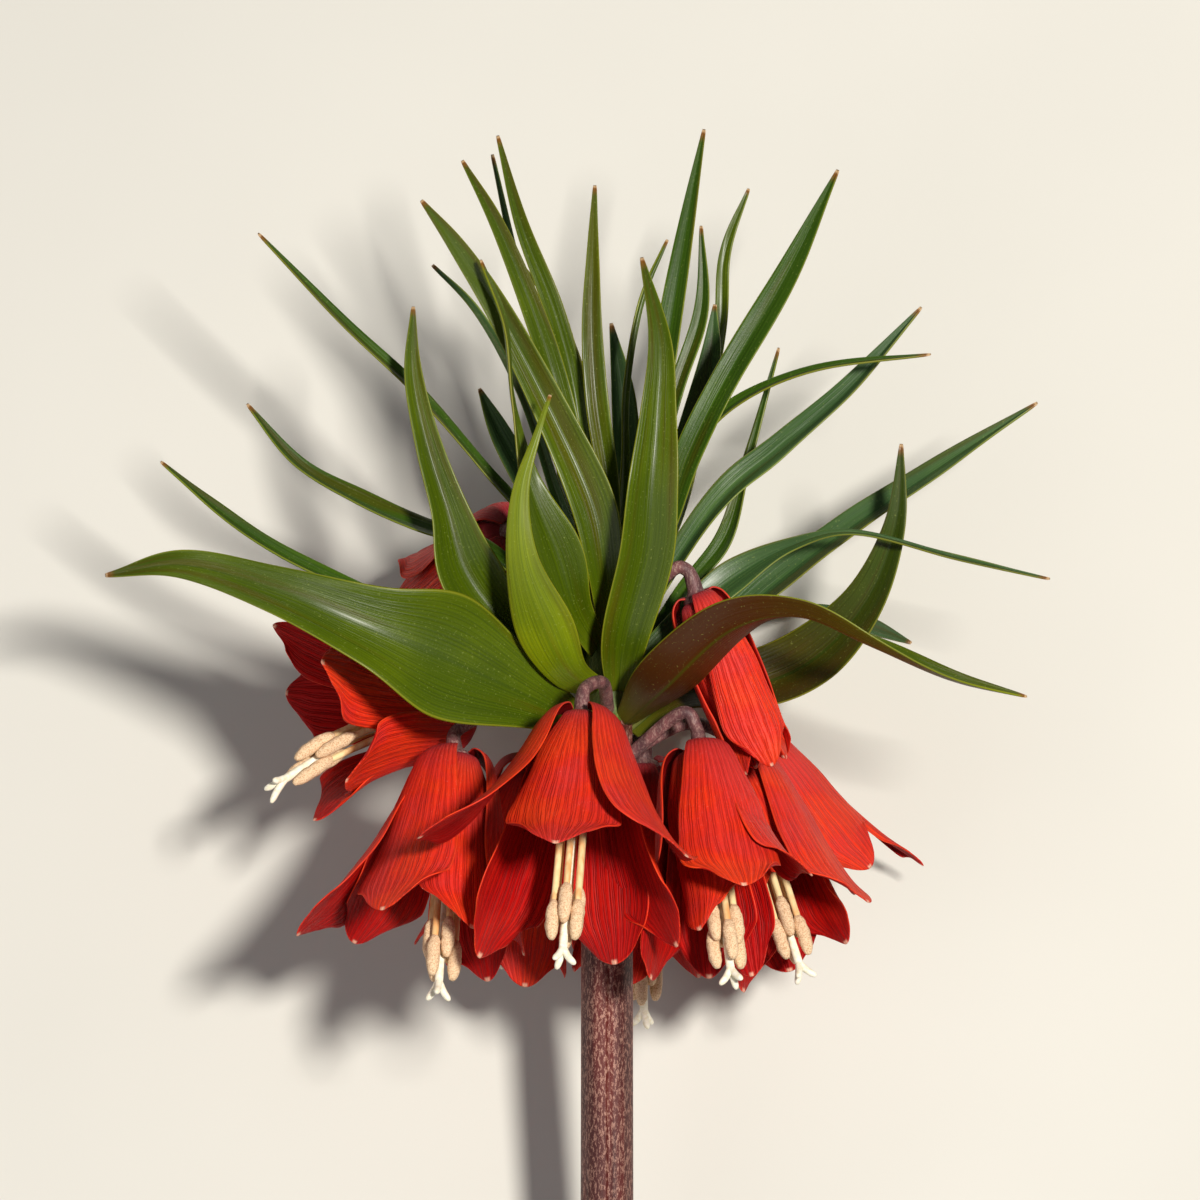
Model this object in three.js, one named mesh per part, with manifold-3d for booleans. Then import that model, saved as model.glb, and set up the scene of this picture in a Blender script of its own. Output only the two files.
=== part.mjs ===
// Crown imperial: one cut flowering stem that lies on a surface.
// A round scape carries a ring of nodding bells, and above them a tuft of long leaves.
// Sizes are in millimetres. The plant is described upright in its own frame, with its origin
// on the stem axis at the ring of bells: +Y runs up the stem, +X to the right and +Z to the front.
// The group at the end lays it down, so that its front faces up.

import * as THREE from "three";
import { mergeVertices } from "three/addons/utils/BufferGeometryUtils.js";
import Module from "manifold-3d";

const wasm = await Module();
wasm.setup();

// ---------------------------------------------------------------- driving sizes

const SCAPE_LENGTH = 300; // cut end to the ring of bells
const SCAPE_FOOT_RADIUS = 6.7;
const SCAPE_TOP_RADIUS = 6.1;
const CROWN_HEIGHT = 40; // stem above the ring of bells, which carries the leaves
const CROWN_TIP_RADIUS = 3.4;
const SCAPE_SIDES = 12;
const SCAPE_RIDGE = 0.25; // how far the shallow ridges of the scape stand out

const PEDICEL_RADIUS = 1.6;
const PEDICEL_SIDES = 6;
const PEDICEL_STEPS = 5;
const PEDICEL_DROP = 5; // straight end of a pedicel above its bell
const PEDICEL_ROOT = 2.5; // how deep a pedicel is sunk in the stem

const SEAT_GAP = 0.3; // between pieces that touch
const BLADE = 0.9; // thickness of a leaf
const TEPAL = 0.8; // thickness of a tepal
const LEAF_FOOT = 4.6; // width of a leaf where it sits on the crown
const LEAF_TIP = 0.8; // width of a leaf at its tip
const CHANNEL_CURVE = 1.25; // 1 folds a leaf sharply along its midrib, and 2 rounds its channel
const MARGIN_LAG = 1.3; // radians by which the wave of one margin trails the other

const LYING_TILT = 12.5; // degrees that the stem axis rises from its cut end to the crown
const COLOURS = {
  scape: "#7d565c",
  leafSun: "#6f8f1a",
  leafShade: "#365c17",
  leafBlue: "#3f6d55",
  tepal: "#d5301c",
  stamen: "#ecd6ae",
};

// ---------------------------------------------------------------- small helpers

const radians = THREE.MathUtils.degToRad;
const point = (x, y, z) => new THREE.Vector3(x, y, z);
const smooth = (value, from, to) => THREE.MathUtils.smoothstep(value, from, to);

/** Radius of the stem above the ring of bells at a height over it. */
function crownRadius(height) {
  const share = Math.max(0, height / CROWN_HEIGHT);
  return THREE.MathUtils.lerp(SCAPE_TOP_RADIUS, CROWN_TIP_RADIUS, share);
}

/** A point outside the stem: azimuth 0 is the front and 90 the right. */
function besideStem(azimuth, height, distance) {
  const reach = crownRadius(height) + distance;
  return point(
    reach * Math.sin(radians(azimuth)),
    height,
    reach * Math.cos(radians(azimuth)),
  );
}

/** A geometry as a manifold-3d solid. */
function solidOf(geometry) {
  const bare = geometry.clone();
  bare.deleteAttribute("normal");
  bare.deleteAttribute("uv");
  const merged = mergeVertices(bare, 1e-4);
  return new wasm.Manifold(
    new wasm.Mesh({
      numProp: 3,
      vertProperties: new Float32Array(merged.attributes.position.array),
      triVerts: new Uint32Array(merged.index.array),
    }),
  );
}

/** A manifold-3d solid as a geometry. */
function geometryOf(solid) {
  const mesh = solid.getMesh();
  const geometry = new THREE.BufferGeometry();
  geometry.setAttribute(
    "position",
    new THREE.BufferAttribute(new Float32Array(mesh.vertProperties), 3),
  );
  geometry.setIndex(new THREE.BufferAttribute(new Uint32Array(mesh.triVerts), 1));
  return geometry;
}

/** Joins geometries that run into each other. */
function fused(geometries) {
  let whole = solidOf(geometries[0]);
  for (const geometry of geometries.slice(1)) whole = whole.add(solidOf(geometry));
  return geometryOf(whole);
}

/**
 * A closed thin blade. rows[i][j] holds the two faces of the blade at station i and column j
 * as { front, back }. Both faces are split into triangles along the same diagonals.
 */
function bladeGeometry(rows) {
  const stations = rows.length;
  const across = rows[0].length;
  const positions = [];
  for (const row of rows) for (const spot of row) positions.push(...spot.front.toArray());
  for (const row of rows) for (const spot of row) positions.push(...spot.back.toArray());
  const front = (i, j) => i * across + j;
  const back = (i, j) => stations * across + i * across + j;
  const faces = [];
  const quad = (a, b, c, d) => faces.push(a, b, c, a, c, d);
  for (let i = 0; i < stations - 1; i++) {
    for (let j = 0; j < across - 1; j++) {
      quad(front(i, j), front(i, j + 1), front(i + 1, j + 1), front(i + 1, j));
      faces.push(back(i, j), back(i + 1, j + 1), back(i, j + 1));
      faces.push(back(i, j), back(i + 1, j), back(i + 1, j + 1));
    }
    quad(front(i, 0), front(i + 1, 0), back(i + 1, 0), back(i, 0));
    const j = across - 1;
    quad(front(i, j), back(i, j), back(i + 1, j), front(i + 1, j));
  }
  const last = stations - 1;
  for (let j = 0; j < across - 1; j++) {
    quad(front(0, j), back(0, j), back(0, j + 1), front(0, j + 1));
    quad(front(last, j), front(last, j + 1), back(last, j + 1), back(last, j));
  }
  const geometry = new THREE.BufferGeometry();
  geometry.setAttribute("position", new THREE.Float32BufferAttribute(positions, 3));
  geometry.setIndex(faces);
  return geometry;
}

/** A closed round tube along a curve, with its radius given by a function of the run 0 to 1. */
function tubeGeometry(curve, radiusAt, sides, steps) {
  const positions = [];
  const faces = [];
  let normal = point(0, 0, 1);
  for (let i = 0; i <= steps; i++) {
    const run = i / steps;
    const centre = curve.getPoint(run);
    const along = curve.getTangent(run);
    if (i === 0 && Math.abs(along.z) > 0.9) normal = point(1, 0, 0);
    normal = normal.clone().addScaledVector(along, -normal.dot(along)).normalize();
    const other = along.clone().cross(normal);
    for (let k = 0; k < sides; k++) {
      const turn = (2 * Math.PI * k) / sides;
      const radius = radiusAt(run, turn);
      const spot = centre
        .clone()
        .addScaledVector(normal, radius * Math.cos(turn))
        .addScaledVector(other, radius * Math.sin(turn));
      positions.push(...spot.toArray());
    }
  }
  const at = (i, k) => i * sides + (k % sides);
  for (let i = 0; i < steps; i++)
    for (let k = 0; k < sides; k++) {
      faces.push(at(i, k), at(i, k + 1), at(i + 1, k + 1));
      faces.push(at(i, k), at(i + 1, k + 1), at(i + 1, k));
    }
  for (let k = 1; k < sides - 1; k++) {
    faces.push(at(0, 0), at(0, k + 1), at(0, k));
    faces.push(at(steps, 0), at(steps, k), at(steps, k + 1));
  }
  const geometry = new THREE.BufferGeometry();
  geometry.setAttribute("position", new THREE.Float32BufferAttribute(positions, 3));
  geometry.setIndex(faces);
  return geometry;
}

const curveThrough = (spots) => new THREE.CatmullRomCurve3(spots, false, "catmullrom", 0.5);

// ---------------------------------------------------------------- leaves

/** Height of the surface under the lying plant, in the plant's frame, at a place along the stem. */
function surfaceDepth(y) {
  const foot = SCAPE_FOOT_RADIUS - SCAPE_RIDGE;
  return -foot - (y + SCAPE_LENGTH) * Math.tan(radians(LYING_TILT));
}

/**
 * One leaf. The spine runs from its foot on the crown through the listed places, each as
 * [x, y, z, width, turn]. The channel of the leaf opens towards facing, turned about the spine by
 * turn degrees, and its halves rise by fold degrees. wave is [height, count, phase] of the margin.
 */
function leafGeometry(leaf) {
  const foot = besideStem(leaf.seat[0], leaf.seat[1], SEAT_GAP + leaf.clear);
  const spine = curveThrough([foot, ...leaf.spine.map(([x, y, z]) => point(x, y, z))]);
  const shape = curveThrough([
    point(LEAF_FOOT, leaf.spine[0][4] ?? 0, 0),
    ...leaf.spine.map(([, , , width, turn]) => point(width, turn ?? 0, 0)),
  ]);
  const facing = point(...leaf.facing).normalize();
  const rise = radians(leaf.fold);
  const [waveHeight, waveCount, wavePhase] = leaf.wave;
  const rows = [];
  for (let i = 0; i <= leaf.steps; i++) {
    const run = i / leaf.steps;
    const centre = spine.getPoint(run);
    const along = spine.getTangent(run);
    const { x: width, y: turn } = shape.getPoint(run);
    const half = Math.max(LEAF_TIP / 2, width / 2);
    const normal = facing.clone().addScaledVector(along, -facing.dot(along)).normalize();
    normal.applyAxisAngle(along, radians(turn));
    const side = along.clone().cross(normal);
    const row = [];
    for (let j = 0; j <= leaf.columns; j++) {
      const across = (2 * j) / leaf.columns - 1;
      const outward = Math.abs(across);
      const sway = Math.sin(2 * Math.PI * waveCount * run + wavePhase + (across > 0 ? MARGIN_LAG : 0));
      const lift =
        half * Math.sin(rise) * Math.pow(outward, CHANNEL_CURVE) +
        waveHeight * sway * outward * outward * smooth(run, 0.1, 0.35) * (1 - smooth(run, 0.8, 1));
      const middle = centre
        .clone()
        .addScaledVector(side, across * half * Math.cos(rise))
        .addScaledVector(normal, lift);
      const front = middle.clone().addScaledVector(normal, BLADE / 2);
      const back = middle.clone().addScaledVector(normal, -BLADE / 2);
      if (leaf.rests) pressFlat(front, back);
      row.push({ front, back });
    }
    rows.push(row);
  }
  return bladeGeometry(rows);
}

/** Keeps both faces of a resting leaf above the surface, one leaf thickness apart. */
function pressFlat(front, back) {
  const [low, high] = front.z < back.z ? [front, back] : [back, front];
  low.z = Math.max(low.z, surfaceDepth(low.y));
  high.z = Math.max(high.z, surfaceDepth(high.y) + BLADE);
}

const LEAF_DEFAULTS = {
  clear: 0.6,
  fold: 22,
  wave: [0, 1, 0],
  columns: 2,
  steps: 8,
  tint: "leafSun",
};
const BROAD = { columns: 4, steps: 9 };

const LEAVES = {
  // the left side, from the front to the back
  leaf_left_broad: {
    seat: [-56, -2],
    spine: [
      [-17, 4.8, 14.4, 15.5],
      [-38, 14.6, 25, 32],
      [-56, 22, 31, 21],
      [-78, 31, 33, 12.5],
      [-100, 37, 30, 7],
      [-119, 34.6, 26, 1],
    ],
    facing: [0, 0.28, 1],
    fold: 16,
    wave: [1.6, 2.2, 0.4],
    ...BROAD,
  },
  leaf_left_low: {
    seat: [-92, -1],
    spine: [
      [-20, 10, 0, 7],
      [-42, 24, 5, 8],
      [-60, 31, 7, 6.5],
      [-78, 39.5, 7, 5.8],
      [-93, 50, 6, 4],
      [-107, 62, 5, 0.9],
    ],
    facing: [0, 0.9, 0.5],
    tint: "leafShade",
  },
  leaf_left_middle: {
    seat: [-100, 13],
    clear: 1.2,
    spine: [
      [-17, 30, -2, 7],
      [-31, 41, 1, 9],
      [-45, 46, 1, 8.6],
      [-59, 52, 0, 8],
      [-74, 61, 0, 5],
      [-86.6, 76, -1, 0.9],
    ],
    facing: [0, 0.9, 0.5],
    tint: "leafShade",
  },
  leaf_left_thin: {
    seat: [-95, 27],
    clear: 1.2,
    spine: [
      [-16, 45, 1, 4.5],
      [-27, 57, 2, 4.4],
      [-44, 77, 1, 4.2],
      [-62, 94, 0, 3.8],
      [-84, 117, -2, 0.9],
    ],
    facing: [0.5, 0.6, 0.6],
    tint: "leafShade",
  },
  leaf_left_upright: {
    seat: [-68, 9],
    spine: [
      [-20, 19, 9, 12],
      [-33, 34, 12, 18],
      [-38, 50, 13, 11],
      [-43, 66, 13, 7.6],
      [-46.5, 83, 12, 5],
      [-46.3, 99, 10, 0.9],
    ],
    facing: [0.25, 0, 1],
    fold: 30,
    ...BROAD,
  },
  leaf_left_sliver: {
    seat: [-118, 31],
    clear: 1.9,
    spine: [
      [-12, 54, -4, 3.4],
      [-20, 78, -7, 3],
      [-31, 98, -9, 2],
      [-42.2, 109.7, -11, 0.9],
    ],
    facing: [0, 0, 1],
    tint: "leafBlue",
  },

  // the upright leaves of the middle, from the front to the back
  leaf_front_small: {
    seat: [-24, 7],
    spine: [
      [-9.4, 11.2, 18, 10.4],
      [-15, 22, 25, 15],
      [-20.2, 38, 29, 8.4],
      [-20.6, 54, 30, 4.4],
      [-16.5, 68, 29, 1.8],
      [-13.4, 77.5, 27, 0.8],
    ],
    facing: [0.15, 0.2, -1],
    fold: 14,
    ...BROAD,
  },
  leaf_front_broad: {
    seat: [30, 7],
    spine: [
      [4, 20, 15, 12.5],
      [9, 39, 20, 14.6],
      [10.6, 56, 22, 13.6],
      [12, 74, 21, 9.6],
      [12.4, 91, 19, 6],
      [8.2, 110.6, 14, 0.9],
    ],
    facing: [0.1, 0, 1],
    fold: 26,
    ...BROAD,
  },
  leaf_front_twisted: {
    seat: [-30, 17],
    spine: [
      [-8, 27, 14, 9],
      [-12, 40, 18, 13],
      [-19, 57, 21, 7, 20],
      [-22.6, 76, 21, 3.8, 60],
      [-24.6, 94, 19, 3.6, 60],
      [-30.2, 109.9, 17, 0.9, 40],
    ],
    facing: [0.3, 0, 1],
  },
  leaf_long_diagonal: {
    seat: [8, 22],
    spine: [
      [-0.6, 36, 11, 9.5],
      [-3.6, 52, 13, 12],
      [-13, 73, 13.5, 9.6],
      [-25, 96, 13, 7],
      [-35, 112, 12, 5],
      [-44.4, 124.3, 11, 0.9],
    ],
    facing: [0.1, 0, 1],
    fold: 24,
    ...BROAD,
  },
  leaf_inner_left: {
    seat: [-50, 30],
    clear: 1,
    spine: [
      [-6.5, 55, 8, 6.5],
      [-11.5, 78, 8, 6.6],
      [-17.5, 97, 6, 6],
      [-26, 118, 3, 4],
      [-34.8, 134.4, 0, 0.9],
    ],
    facing: [0.2, 0, 1],
  },
  leaf_inner_tall: {
    seat: [-84, 36],
    clear: 1.9,
    spine: [
      [-5.6, 60, 0, 5.6],
      [-8, 80, -1, 5.8],
      [-13, 99, -3, 5.4],
      [-20.6, 119, -5, 3.8],
      [-26.4, 140.9, -9, 0.9],
    ],
    facing: [0.2, 0, 1],
  },
  leaf_inner_sliver: {
    seat: [-160, 37],
    clear: 1.4,
    spine: [
      [-6, 60, -7, 3.6],
      [-13, 86, -10, 3.4],
      [-21, 107, -13, 2.4],
      [-27.8, 136.8, -17, 0.9],
    ],
    facing: [0, 0, 1],
    tint: "leafBlue",
  },
  leaf_inner_curl: {
    seat: [178, 31],
    clear: 1,
    spine: [
      [-2, 58, -12, 3],
      [-6, 82, -15, 2.6],
      [-12, 98, -17, 2],
      [-20.4, 109.7, -18, 0.8],
    ],
    facing: [0, 0, 1],
  },
  leaf_centre: {
    seat: [10, 38],
    clear: 1,
    spine: [
      [0.4, 56, 2.5, 5.6],
      [-2.4, 76, 3, 6.2],
      [-3.6, 94, 2, 5.4],
      [-3.4, 112, 0, 3.2],
      [-2.9, 128.6, -3, 0.9],
    ],
    facing: [0, 0, 1],
  },
  leaf_back_centre: {
    seat: [168, 24],
    clear: 0.9,
    spine: [
      [2, 42, -11, 6],
      [4.6, 60, -14, 7],
      [4, 78, -17, 6.4],
      [1, 96, -19, 0.9],
    ],
    facing: [0, 0, 1],
    tint: "leafBlue",
  },
  leaf_inner_thin: {
    seat: [92, 38],
    clear: 1,
    spine: [
      [4.2, 62, -3, 2.4],
      [4.6, 80, -4, 2.2],
      [8, 100, -5, 2],
      [14.6, 115.7, -7, 0.8],
    ],
    facing: [0.6, 0, 1],
  },

  // the right side, from the top round to the bottom
  leaf_right_tall: {
    seat: [56, 35],
    clear: 1.3,
    spine: [
      [8, 54, 3, 6],
      [12, 74, 0, 6.6],
      [15.4, 96, -3, 6.4],
      [19, 118, -7, 4.6],
      [23.5, 142.6, -12, 0.9],
    ],
    facing: [-0.2, 0, 1],
    tint: "leafShade",
  },
  leaf_right_dark: {
    seat: [138, 35],
    clear: 1.5,
    spine: [
      [9.6, 54, -8, 4],
      [17, 80, -12, 4.4],
      [23, 99, -15, 4],
      [22.8, 119.5, -17, 0.8],
    ],
    facing: [-0.3, 0, 1],
    tint: "leafShade",
  },
  leaf_right_pale: {
    seat: [146, 14],
    clear: 0.9,
    spine: [
      [12, 44, -16, 4],
      [22, 70, -23, 4.4],
      [27.6, 94, -28, 3.8],
      [28.8, 113, -29, 3.2],
      [34.6, 129.1, -30, 0.8],
    ],
    facing: [-0.3, 0, 1],
  },
  leaf_back_right: {
    seat: [132, 25],
    clear: 1.4,
    spine: [
      [13, 45, -9, 6],
      [20, 66, -15, 8],
      [25, 86, -19, 6],
      [26.2, 100.6, -21, 0.9],
    ],
    facing: [-0.3, 0, 1],
    tint: "leafBlue",
  },
  leaf_right_long: {
    seat: [84, 28],
    clear: 1.6,
    spine: [
      [13, 44, 4, 7],
      [19.6, 63, 6, 8],
      [29, 82, 5, 8],
      [43, 106, 0, 7],
      [55.7, 132.5, -6, 0.9],
    ],
    facing: [-0.4, 0.2, 1],
    tint: "leafShade",
  },
  leaf_right_narrow: {
    seat: [98, 24],
    clear: 1.8,
    spine: [
      [13, 46, 0, 4],
      [20, 64, 0, 4],
      [31, 76, 1, 3.8],
      [50, 84, 3, 3.4],
      [77.8, 87.6, 4, 0.8],
    ],
    facing: [0, 0.8, 0.6],
    tint: "leafShade",
  },
  leaf_right_channelled: {
    seat: [106, 16],
    clear: 1.6,
    spine: [
      [15, 35, -3, 7],
      [28, 53, -4, 9],
      [42, 65, -7, 9],
      [58, 79, -9, 7],
      [76.1, 99.6, -12, 0.9],
    ],
    facing: [-0.4, 0.5, 0.8],
    fold: 30,
    tint: "leafBlue",
  },
  leaf_right_thin: {
    seat: [112, 8],
    clear: 1.3,
    spine: [
      [19, 31, -15, 5],
      [29, 44, -19, 5.6],
      [34, 62, -21, 3],
      [41.8, 90.2, -23, 0.8],
    ],
    facing: [-0.5, 0.2, 1],
    tint: "leafShade",
  },
  leaf_right_silver: {
    seat: [124, -1],
    clear: 0.8,
    spine: [
      [20, 14, -15, 8],
      [38, 30, -20, 10.5],
      [56, 44, -20, 9],
      [78, 59, -19, 7],
      [104.4, 76.6, -17, 0.9],
    ],
    facing: [-0.4, 0.6, 0.8],
    fold: 26,
    tint: "leafBlue",
  },
  leaf_right_hooked: {
    seat: [90, -3],
    clear: 1.2,
    spine: [
      [18, 6, -4.6, 12],
      [36, 8, -11.2, 18],
      [51, 15, -11, 18],
      [63, 29, -8, 12],
      [69.5, 47, -5, 6],
      [70.8, 66.5, -4, 0.9],
    ],
    facing: [-0.2, 0.6, 1],
    fold: 18,
    tint: "leafShade",
    ...BROAD,
  },
  leaf_right_arching: {
    seat: [46, -1],
    spine: [
      [13.6, 7.6, 21.4, 17.5],
      [29, 21.6, 33, 15],
      [45, 25, 37, 12, 20],
      [62, 18, 37, 9, 50],
      [81, 10, 34, 6, 70],
      [99.4, 5.8, 30, 0.9, 70],
    ],
    facing: [0.1, 0.75, -0.65],
    fold: 30,
    ...BROAD,
  },
  leaf_right_ribbon: {
    seat: [74, 10],
    clear: 1.3,
    spine: [
      [18, 23, -3, 8],
      [31, 34, -6, 9.6],
      [45, 42, -5, 5],
      [60, 45, 0, 2.2],
      [84, 38.8, 3, 2],
      [106.3, 33.8, 3, 0.8],
    ],
    facing: [-0.3, 0.5, 1],
    tint: "leafBlue",
  },

  // the back, and the two leaves that the lying plant rests on
  leaf_back_left: {
    seat: [-148, 22],
    clear: 1,
    spine: [
      [-12, 42, -14, 6],
      [-19, 56, -17, 7],
      [-26, 69, -20, 6],
      [-31, 80.2, -22, 0.9],
    ],
    facing: [0.3, 0, 1],
    tint: "leafBlue",
  },
  leaf_behind_left: {
    seat: [-166, 11],
    spine: [
      [-6, 32, -24, 8],
      [-8, 52, -38, 9],
      [-10, 70, -50, 7],
      [-10, 88, -58, 0.9],
    ],
    facing: [0.3, 0.5, 1],
    tint: "leafBlue",
  },
  leaf_behind_right: {
    seat: [164, 5],
    spine: [
      [8, 30, -24, 8],
      [15, 48, -38, 9],
      [20, 64, -52, 7],
      [22, 78, -64, 0.9],
    ],
    facing: [-0.3, 0.5, 1],
    tint: "leafBlue",
  },
  leaf_rest_left: {
    seat: [-144, -1],
    spine: [
      [-13, 7, -27, 12],
      [-28, 7, -58, 14],
      [-42, 11, -75, 11],
      [-56, 8, -81, 7],
      [-66, 3, -78, 0.9],
    ],
    facing: [0.4, 0.8, 0.6],
    fold: 10,
    rests: true,
    tint: "leafBlue",
  },
  leaf_rest_right: {
    seat: [155, -2],
    spine: [
      [18, 14, -28, 12],
      [36, 24, -54, 14],
      [50, 26, -75, 11],
      [63, 23, -82, 7],
      [76, 18, -78, 0.9],
    ],
    facing: [-0.4, 0.8, 0.6],
    fold: 10,
    rests: true,
    tint: "leafBlue",
  },
};

// ---------------------------------------------------------------- bells

/** Half of the bell's outline as [distance down its axis, distance from its axis]. */
const BELL_OUTLINE = [
  [1.9, 3.2],
  [2.4, 6.2],
  [6, 9.4],
  [16, 12],
  [29, 14],
  [42, 16.5],
  [53, 19],
];
const BELL_DEPTH = 53;
const OUTER_WIDTHS = [3.6, 8.4, 12.4, 18.5, 24.5, 26, 13];
const INNER_WIDTHS = [3.6, 6, 9.4, 17, 24, 26, 13];
const SHOULDER_RISE = 1.3; // outer shoulders stand above the outline and inner ones slope below
const TEPAL_NOSE = 5; // how far the middle of a tip stands out from its corners
const WHORL_STEP = 1.7; // how far the inner three tepals lie inside the outer three
const SPREAD_POWER = 1.6; // how late along a tepal it turns outward
const OUTER_CURL = 6; // by how much the tip of an outer tepal is flatter than its base
const INNER_CURL = 2;
const LEAST_CURL = 5; // smallest radius that a tepal is bent to across its width
const RECEPTACLE = [
  [0, 0],
  [2.2, 0],
  [4.4, 1.1],
  [4.4, 2.6],
  [0, 2.6],
];
const RECEPTACLE_SIDES = 6;

/** The frame of a bell: its top, its axis, and two directions across it, the first to the front. */
function bellFrame(bell) {
  const top = point(...bell.top);
  const axis = point(...bell.axis).normalize();
  const front = point(0, 0, 1);
  front.addScaledVector(axis, -front.dot(axis)).normalize();
  const right = front.clone().cross(axis);
  return { top, axis, front, right };
}

/**
 * One tepal. flare moves its tip out from the bell's axis, reach stretches it, breadth widens it
 * and turn shifts it round the axis, in degrees.
 */
function tepalGeometry(bell, frame, number, [flare, reach, breadth = 1, turn = 0]) {
  const angle = radians(bell.roll + 60 * number + turn);
  const inner = number % 2 === 1;
  const outward = frame.front
    .clone()
    .multiplyScalar(Math.cos(angle))
    .addScaledVector(frame.right, Math.sin(angle));
  const aside = frame.right
    .clone()
    .multiplyScalar(Math.cos(angle))
    .addScaledVector(frame.front, -Math.sin(angle));
  const line = curveThrough(
    BELL_OUTLINE.map(([down, out]) => {
      const share = down / BELL_DEPTH;
      const spread = (bell.open + flare) * Math.pow(share, SPREAD_POWER);
      const step = inner ? WHORL_STEP * smooth(down, 2, 6) : 0;
      const length = bell.length * THREE.MathUtils.lerp(1, reach, share);
      const shoulder = SHOULDER_RISE * smooth(down, 1.4, 2.6) * (1 - smooth(down, 3, 16));
      const from = down * length + (inner ? shoulder : -shoulder);
      return point(from, out * bell.girth + spread - step, 0);
    }),
  );
  const widen = breadth * bell.breadth * bell.girth;
  const whorl = inner ? INNER_WIDTHS : OUTER_WIDTHS;
  const widths = curveThrough(whorl.map((width) => point(width * widen, 0, 0)));
  const rows = [];
  for (let i = 0; i <= bell.steps; i++) {
    const run = i / bell.steps;
    const { x: down, y: out } = line.getPoint(run);
    const slope = line.getTangent(run);
    const half = Math.max(0.5, widths.getPoint(run).x / 2);
    const curl = Math.max(out, LEAST_CURL) + (inner ? INNER_CURL : OUTER_CURL) * run * run;
    const along = frame.axis.clone().multiplyScalar(slope.x).addScaledVector(outward, slope.y);
    const centre = frame.top
      .clone()
      .addScaledVector(frame.axis, down)
      .addScaledVector(outward, out);
    const row = [];
    for (let j = 0; j <= bell.columns; j++) {
      const across = (2 * j) / bell.columns - 1;
      const bend = (across * half) / curl;
      const sway = 0.5 + 0.5 * Math.sin(9 * run + 2.4 * Math.sign(across) + 5 * angle);
      const ruffle = (inner ? -bell.ruffle : bell.ruffle) * sway;
      const lift = ruffle * across * across * smooth(run, 0.45, 0.8);
      const normal = outward
        .clone()
        .multiplyScalar(Math.cos(bend))
        .addScaledVector(aside, Math.sin(bend));
      normal.addScaledVector(along, -normal.dot(along)).normalize();
      const middle = centre
        .clone()
        .addScaledVector(aside, curl * Math.sin(bend))
        .addScaledVector(outward, -curl * (1 - Math.cos(bend)))
        .addScaledVector(normal, lift)
        .addScaledVector(along, -TEPAL_NOSE * across * across * smooth(run, 0.8, 1));
      row.push({
        front: middle.clone().addScaledVector(normal, -TEPAL / 2),
        back: middle.clone().addScaledVector(normal, TEPAL / 2),
      });
    }
    rows.push(row);
  }
  return bladeGeometry(rows);
}

/** A lathe about the bell's axis from a profile of [radius, distance down the axis]. */
function bellLathe(frame, profile, sides) {
  const lathe = new THREE.LatheGeometry(
    profile.map(([radius, down]) => new THREE.Vector2(radius, down)),
    sides,
  );
  const place = new THREE.Matrix4().makeBasis(frame.front, frame.axis, frame.right);
  place.setPosition(frame.top);
  return lathe.applyMatrix4(place);
}

/** The six tepals of a bell with the receptacle that holds them. */
function bellGeometry(bell) {
  const frame = bellFrame(bell);
  const pieces = [bellLathe(frame, RECEPTACLE, RECEPTACLE_SIDES)];
  for (let k = 0; k < 6; k++) {
    pieces.push(tepalGeometry(bell, frame, k, bell.tepals[k] ?? [0, 1]));
  }
  return fused(pieces);
}

const OVARY_START = 2.9; // below the top of the bell
const OVARY = [
  [0, 0],
  [2.8, 0],
  [2.2, 8],
  [0, 11],
];
const OVARY_SIDES = 6;
const STYLE_START = 9;
const STYLE_RADIUS = 0.95;
const STIGMA_RADIUS = 0.85;
const STIGMA_ARM = { along: 3.4, out: 3.2 };
const STRAND_SIDES = 3; // of the style, the stigma's arms and the stamens
const FILAMENT_RADIUS = 0.65;
const FILAMENT_ROOT = 1.8; // from the bell's axis
const ANTHER_LENGTH = 9;
const ANTHER_RADIUS = 1.7;
const ANTHER_TIP_RADIUS = 0.8;
const LONG_STAMEN = 2; // how far the anthers end above the stigma
const SHORT_STAMEN = 7;

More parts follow.
